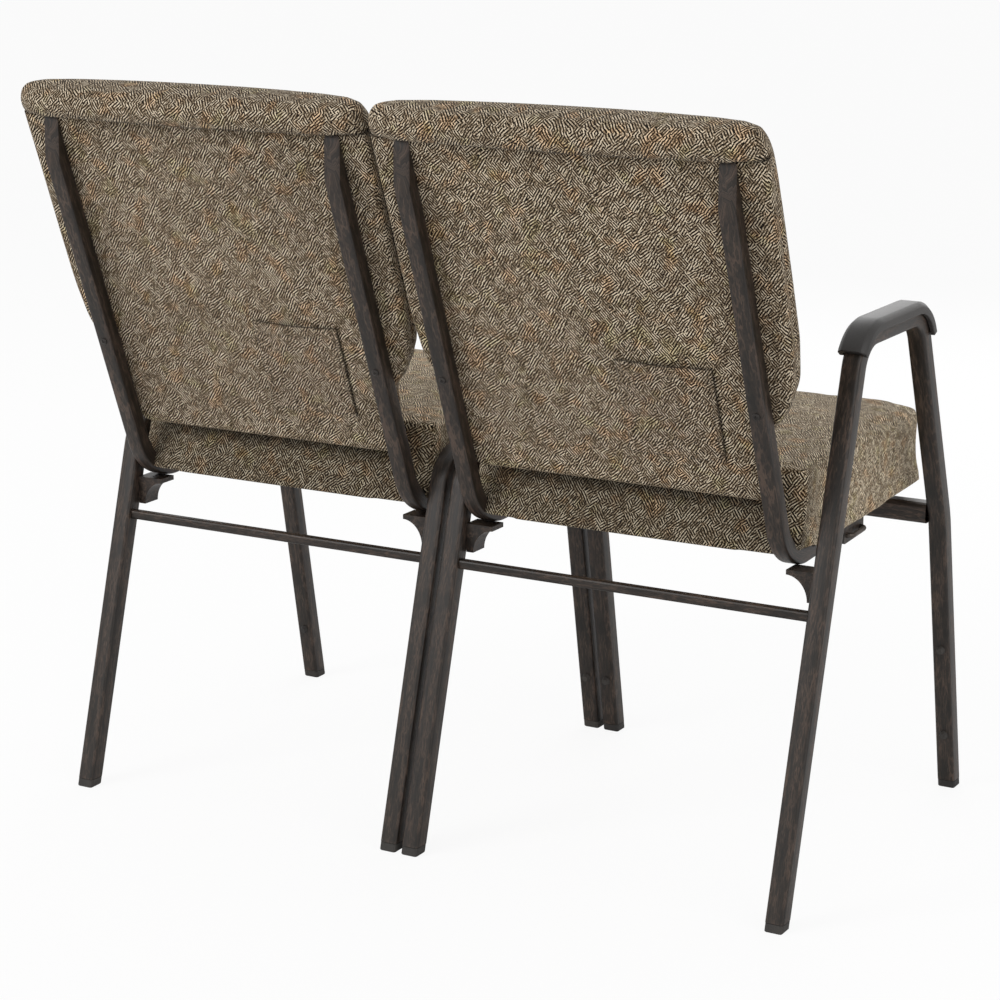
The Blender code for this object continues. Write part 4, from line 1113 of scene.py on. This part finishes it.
def card_pocket(chair):
    """One pocket, from a grid over its flat size."""
    across, along = np.meshgrid(np.linspace(0, POCKET_WIDTH, POCKET_COLUMNS),
                                np.linspace(0, POCKET_HEIGHT, POCKET_ROWS))
    points = on_back(chair, *on_pocket(across, along))
    name = f"{chair}_chair_patch_pocket"
    mesh, _ = grid_mesh(name, points)
    # How much painted shade lies along the pocket's edges, per point.
    edge_shade = mesh.attributes.new("seam_shade", "FLOAT", "POINT")
    edge_shade.data.foreach_set("value", pocket_edge_shade(across, along).ravel())
    made = piece_from(name, mesh, POCKET_TWEED)
    thickened(made, POCKET_SKIN)
    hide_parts(f"{chair}_chair_card_pocket")
    return made


POCKETS = [card_pocket(chair) for chair in CHAIRS]
print("pockets:", [p.name for p in POCKETS])

# %% [markdown]
# ## Stitches and screws
# Rows of stitches hold the side seams, the hem and the pocket. Each stitch is a tiny spindle of thread.
# A pan-head screw holds each upright to the board.

# %% Stitches
STITCH, STITCH_GAP, THREAD_RADIUS = 0.0028, 0.0042, 0.00038
THREAD_SIDES = 6
SPINDLE = ((-0.5, 0.25, 0.8), (-0.3, 1.0, 0.0), (0.3, 1.0, 0.0), (0.5, 0.25, 0.8))  # along, swell, sink
AHEAD = 0.0005  # how far on either side a stitch looks for its direction
LIFT = 0.0001  # of the thread's middle off the cloth
SIDE_SEAMS, HEM_SEAMS = (0.0078, 0.0104), (0.0045, 0.0092)
POCKET_SEAM, POCKET_FOOT_SEAM, POCKET_HEM_SEAM = 0.0050, 0.0048, 0.0120
SEAM_POINTS, POCKET_SEAM_POINTS = 60, 40


def spaced(points, step):
    """Points every step along a polyline, with the unit direction there."""
    length = run_length(points)
    at = np.arange(step / 2, length[-1], step)
    place, ahead, behind = [np.stack([np.interp(at + shift, length, axis) for axis in points.T], -1)
                            for shift in (0, AHEAD, -AHEAD)]
    return place, unit(ahead - behind)


def seam(chair, x, depth, up, outward):
    """Stitch middles, directions and outward normals along a line given in the back's own frame."""
    place, way = spaced(on_back(chair, x, depth, up), STITCH_GAP)
    return place, way, np.broadcast_to(np.asarray(outward, float), place.shape)


def sewn(name, seams):
    """One mesh of spindles, open at their sunk ends: rings at four places along each stitch."""
    place, way, outward = (np.concatenate([s[i] for s in seams]) for i in range(3))
    across = unit(np.cross(way, outward))
    out = np.cross(across, way)
    angle = np.linspace(0, 2 * math.pi, THREAD_SIDES, endpoint=False)
    spokes = np.cos(angle)[None, :, None] * across[:, None] + np.sin(angle)[None, :, None] * out[:, None]
    rings = []
    for along, swell, sink in SPINDLE:
        middle = place + way * STITCH * along - out * THREAD_RADIUS * sink
        rings.append(middle[:, None] + spokes * THREAD_RADIUS * swell)
    points = np.stack(rings, 1).reshape(-1, 3)
    base = np.arange(len(place))[:, None, None] * len(SPINDLE) * THREAD_SIDES
    quad = grid_quads(len(SPINDLE), THREAD_SIDES, closed=True)[-1]
    mesh = bpy.data.meshes.new(name)
    mesh.from_pydata(points.tolist(), [], (base + quad).reshape(-1, 4).tolist())
    mesh.shade_smooth()
    return piece_from(name, mesh, THREAD)


def chair_stitches(chair):
    """Two rows up each side and along the hem, and one round the pocket."""
    foot, wing_top, roll = up_back(TONGUE_FOOT), up_back(WING_FOOT) + WING_CHAMFER, up_back(ROLL_FOOT)
    up = np.linspace(wing_top + 0.004, roll - 0.006, SEAM_POINTS)
    half = pad_half_width(up) + LIFT
    seams = [seam(chair, sign * half, depth, up, (sign, 0, 0)) for sign in (1, -1) for depth in SIDE_SEAMS]
    x, hem = np.linspace(-0.166, 0.166, SEAM_POINTS), COVER_DEPTH - HEM_RISE - LIFT
    seams += [seam(chair, x, hem, foot + height, -FORWARD) for height in HEM_SEAMS]
    along = np.linspace(POCKET_FOOT_SEAM, POCKET_HEIGHT - 0.001, POCKET_SEAM_POINTS)
    across = np.linspace(POCKET_SEAM, POCKET_WIDTH - POCKET_SEAM, POCKET_SEAM_POINTS)
    lines = [(across[0], along), (across[-1], along), (across, POCKET_FOOT_SEAM),
             (across, POCKET_HEIGHT - POCKET_HEM_SEAM)]
    seams += [seam(chair, *on_pocket(*line, LIFT), -FORWARD) for line in lines]
    return sewn(f"{chair}_chair_stitches", seams)


STITCHES = [chair_stitches(chair) for chair in CHAIRS]
print("stitches:", [len(s.data.vertices) // (len(SPINDLE) * THREAD_SIDES) for s in STITCHES])

# %% Screws
SCREW_HEIGHT, SCREW_SIDES = 0.566, 40
SCREW_RINGS = ((0.0044, -0.0004, 0), (0.0044, 0.0006, 0), (0.0040, 0.0014, 0), (0.0028, 0.0020, 0),
               (0.0022, 0.0021, 0), (0.0019, 0.0021, 0.0010), (0.0006, 0.0021, 0.0010))  # radius, rise, dip


def screw(chair, side):
    """A pan head with a cross recess: rings of a turned profile, dipped where the cross lies."""
    x0, depth0, up0 = SIDES[side] * RAIL_SPACING / 2, -TOUCH - RAIL_TUBE, up_back(SCREW_HEIGHT)
    angle = np.linspace(0, 2 * math.pi, SCREW_SIDES, endpoint=False)
    cross = np.abs(np.cos(2 * angle)) > 0.86
    rings = []
    for radius, rise, dip in SCREW_RINGS:
        rings.append(on_back(chair, x0 + radius * np.cos(angle), depth0 - rise + dip * cross,
                             up0 + radius * np.sin(angle)))
    name = f"{chair}_chair_screw_{side}"
    return piece_from(name, loft(name, np.stack(rings), smooth=30), SCREW_STEEL)


SCREWS = [screw(chair, side) for chair in CHAIRS for side in SIDES]
print("screws:", len(SCREWS))

# %% [markdown]
# ## Light and floor
# Soft studio light comes from behind the camera's left shoulder, with weaker lamps from the right and
# from beyond the chair.
# The floor and the world are white to the camera, and the floor keeps the chair's shadow.

# %% Light and floor
WHITE = (1, 1, 1, 1)
FLOOR_REACH, FLOOR_GLOW = 30.0, 0.90  # half its width; how much of its white the camera sees unshaded


def area_light(name, place, target, size, power):
    """A square lamp that faces a target."""
    data = bpy.data.lights.new(name, "AREA")
    data.size = size
    data.energy = power
    lamp = added(name, data)
    lamp.location = place
    lamp.rotation_euler = (Vector(target) - Vector(place)).to_track_quat("-Z", "Y").to_euler()


area_light("key", (1.9, 2.9, 2.4), (0, 0.1, 0.5), 1.6, 62)
area_light("fill", (-2.6, 1.2, 1.5), (0, 0, 0.4), 2.2, 22)
area_light("front", (0.4, -2.8, 2.0), (0, 0, 0.5), 2.4, 30)

world = bpy.data.worlds.new("studio")
world.use_nodes = True
scene.world = world
sky = world.node_tree
ray = put(sky, "ShaderNodeLightPath", {})
seen = maths(sky, "MAXIMUM", ray.outputs["Is Camera Ray"],
             maths(sky, "MAXIMUM", ray.outputs["Is Glossy Ray"], ray.outputs["Is Transmission Ray"]))
fill(sky, sky.nodes["Background"], {"Color": WHITE, "Strength": maths(sky, "MULTIPLY_ADD", seen, 0.35, 0.65)})

floor_mesh = bpy.data.meshes.new("floor")
corners = [(FLOOR_REACH * i, FLOOR_REACH * j, 0) for i, j in ((-1, -1), (1, -1), (1, 1), (-1, 1))]
floor_mesh.from_pydata(corners, [], [(0, 1, 2, 3)])
floor = added("floor", floor_mesh)
pale, tree, shader = new_material("pale_floor")
fill(tree, shader, {"Base Color": (0.86, 0.86, 0.86, 1), "Roughness": 0.9})
glow = put(tree, "ShaderNodeEmission", {"Color": WHITE, "Strength": 1.0}).outputs[0]
shown = maths(tree, "MULTIPLY", put(tree, "ShaderNodeLightPath", {}).outputs["Is Camera Ray"], FLOOR_GLOW)
blend = put(tree, "ShaderNodeMixShader", {0: shown, 1: shader.outputs[0], 2: glow}).outputs[0]
fill(tree, tree.nodes["Material Output"], {"Surface": blend})
floor_mesh.materials.append(pale)
floor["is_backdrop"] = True
print("light and floor ready")

# %% Sizes and finish
low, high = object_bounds()
print("visual size", [round(h - l, 4) for l, h in zip(low, high)])
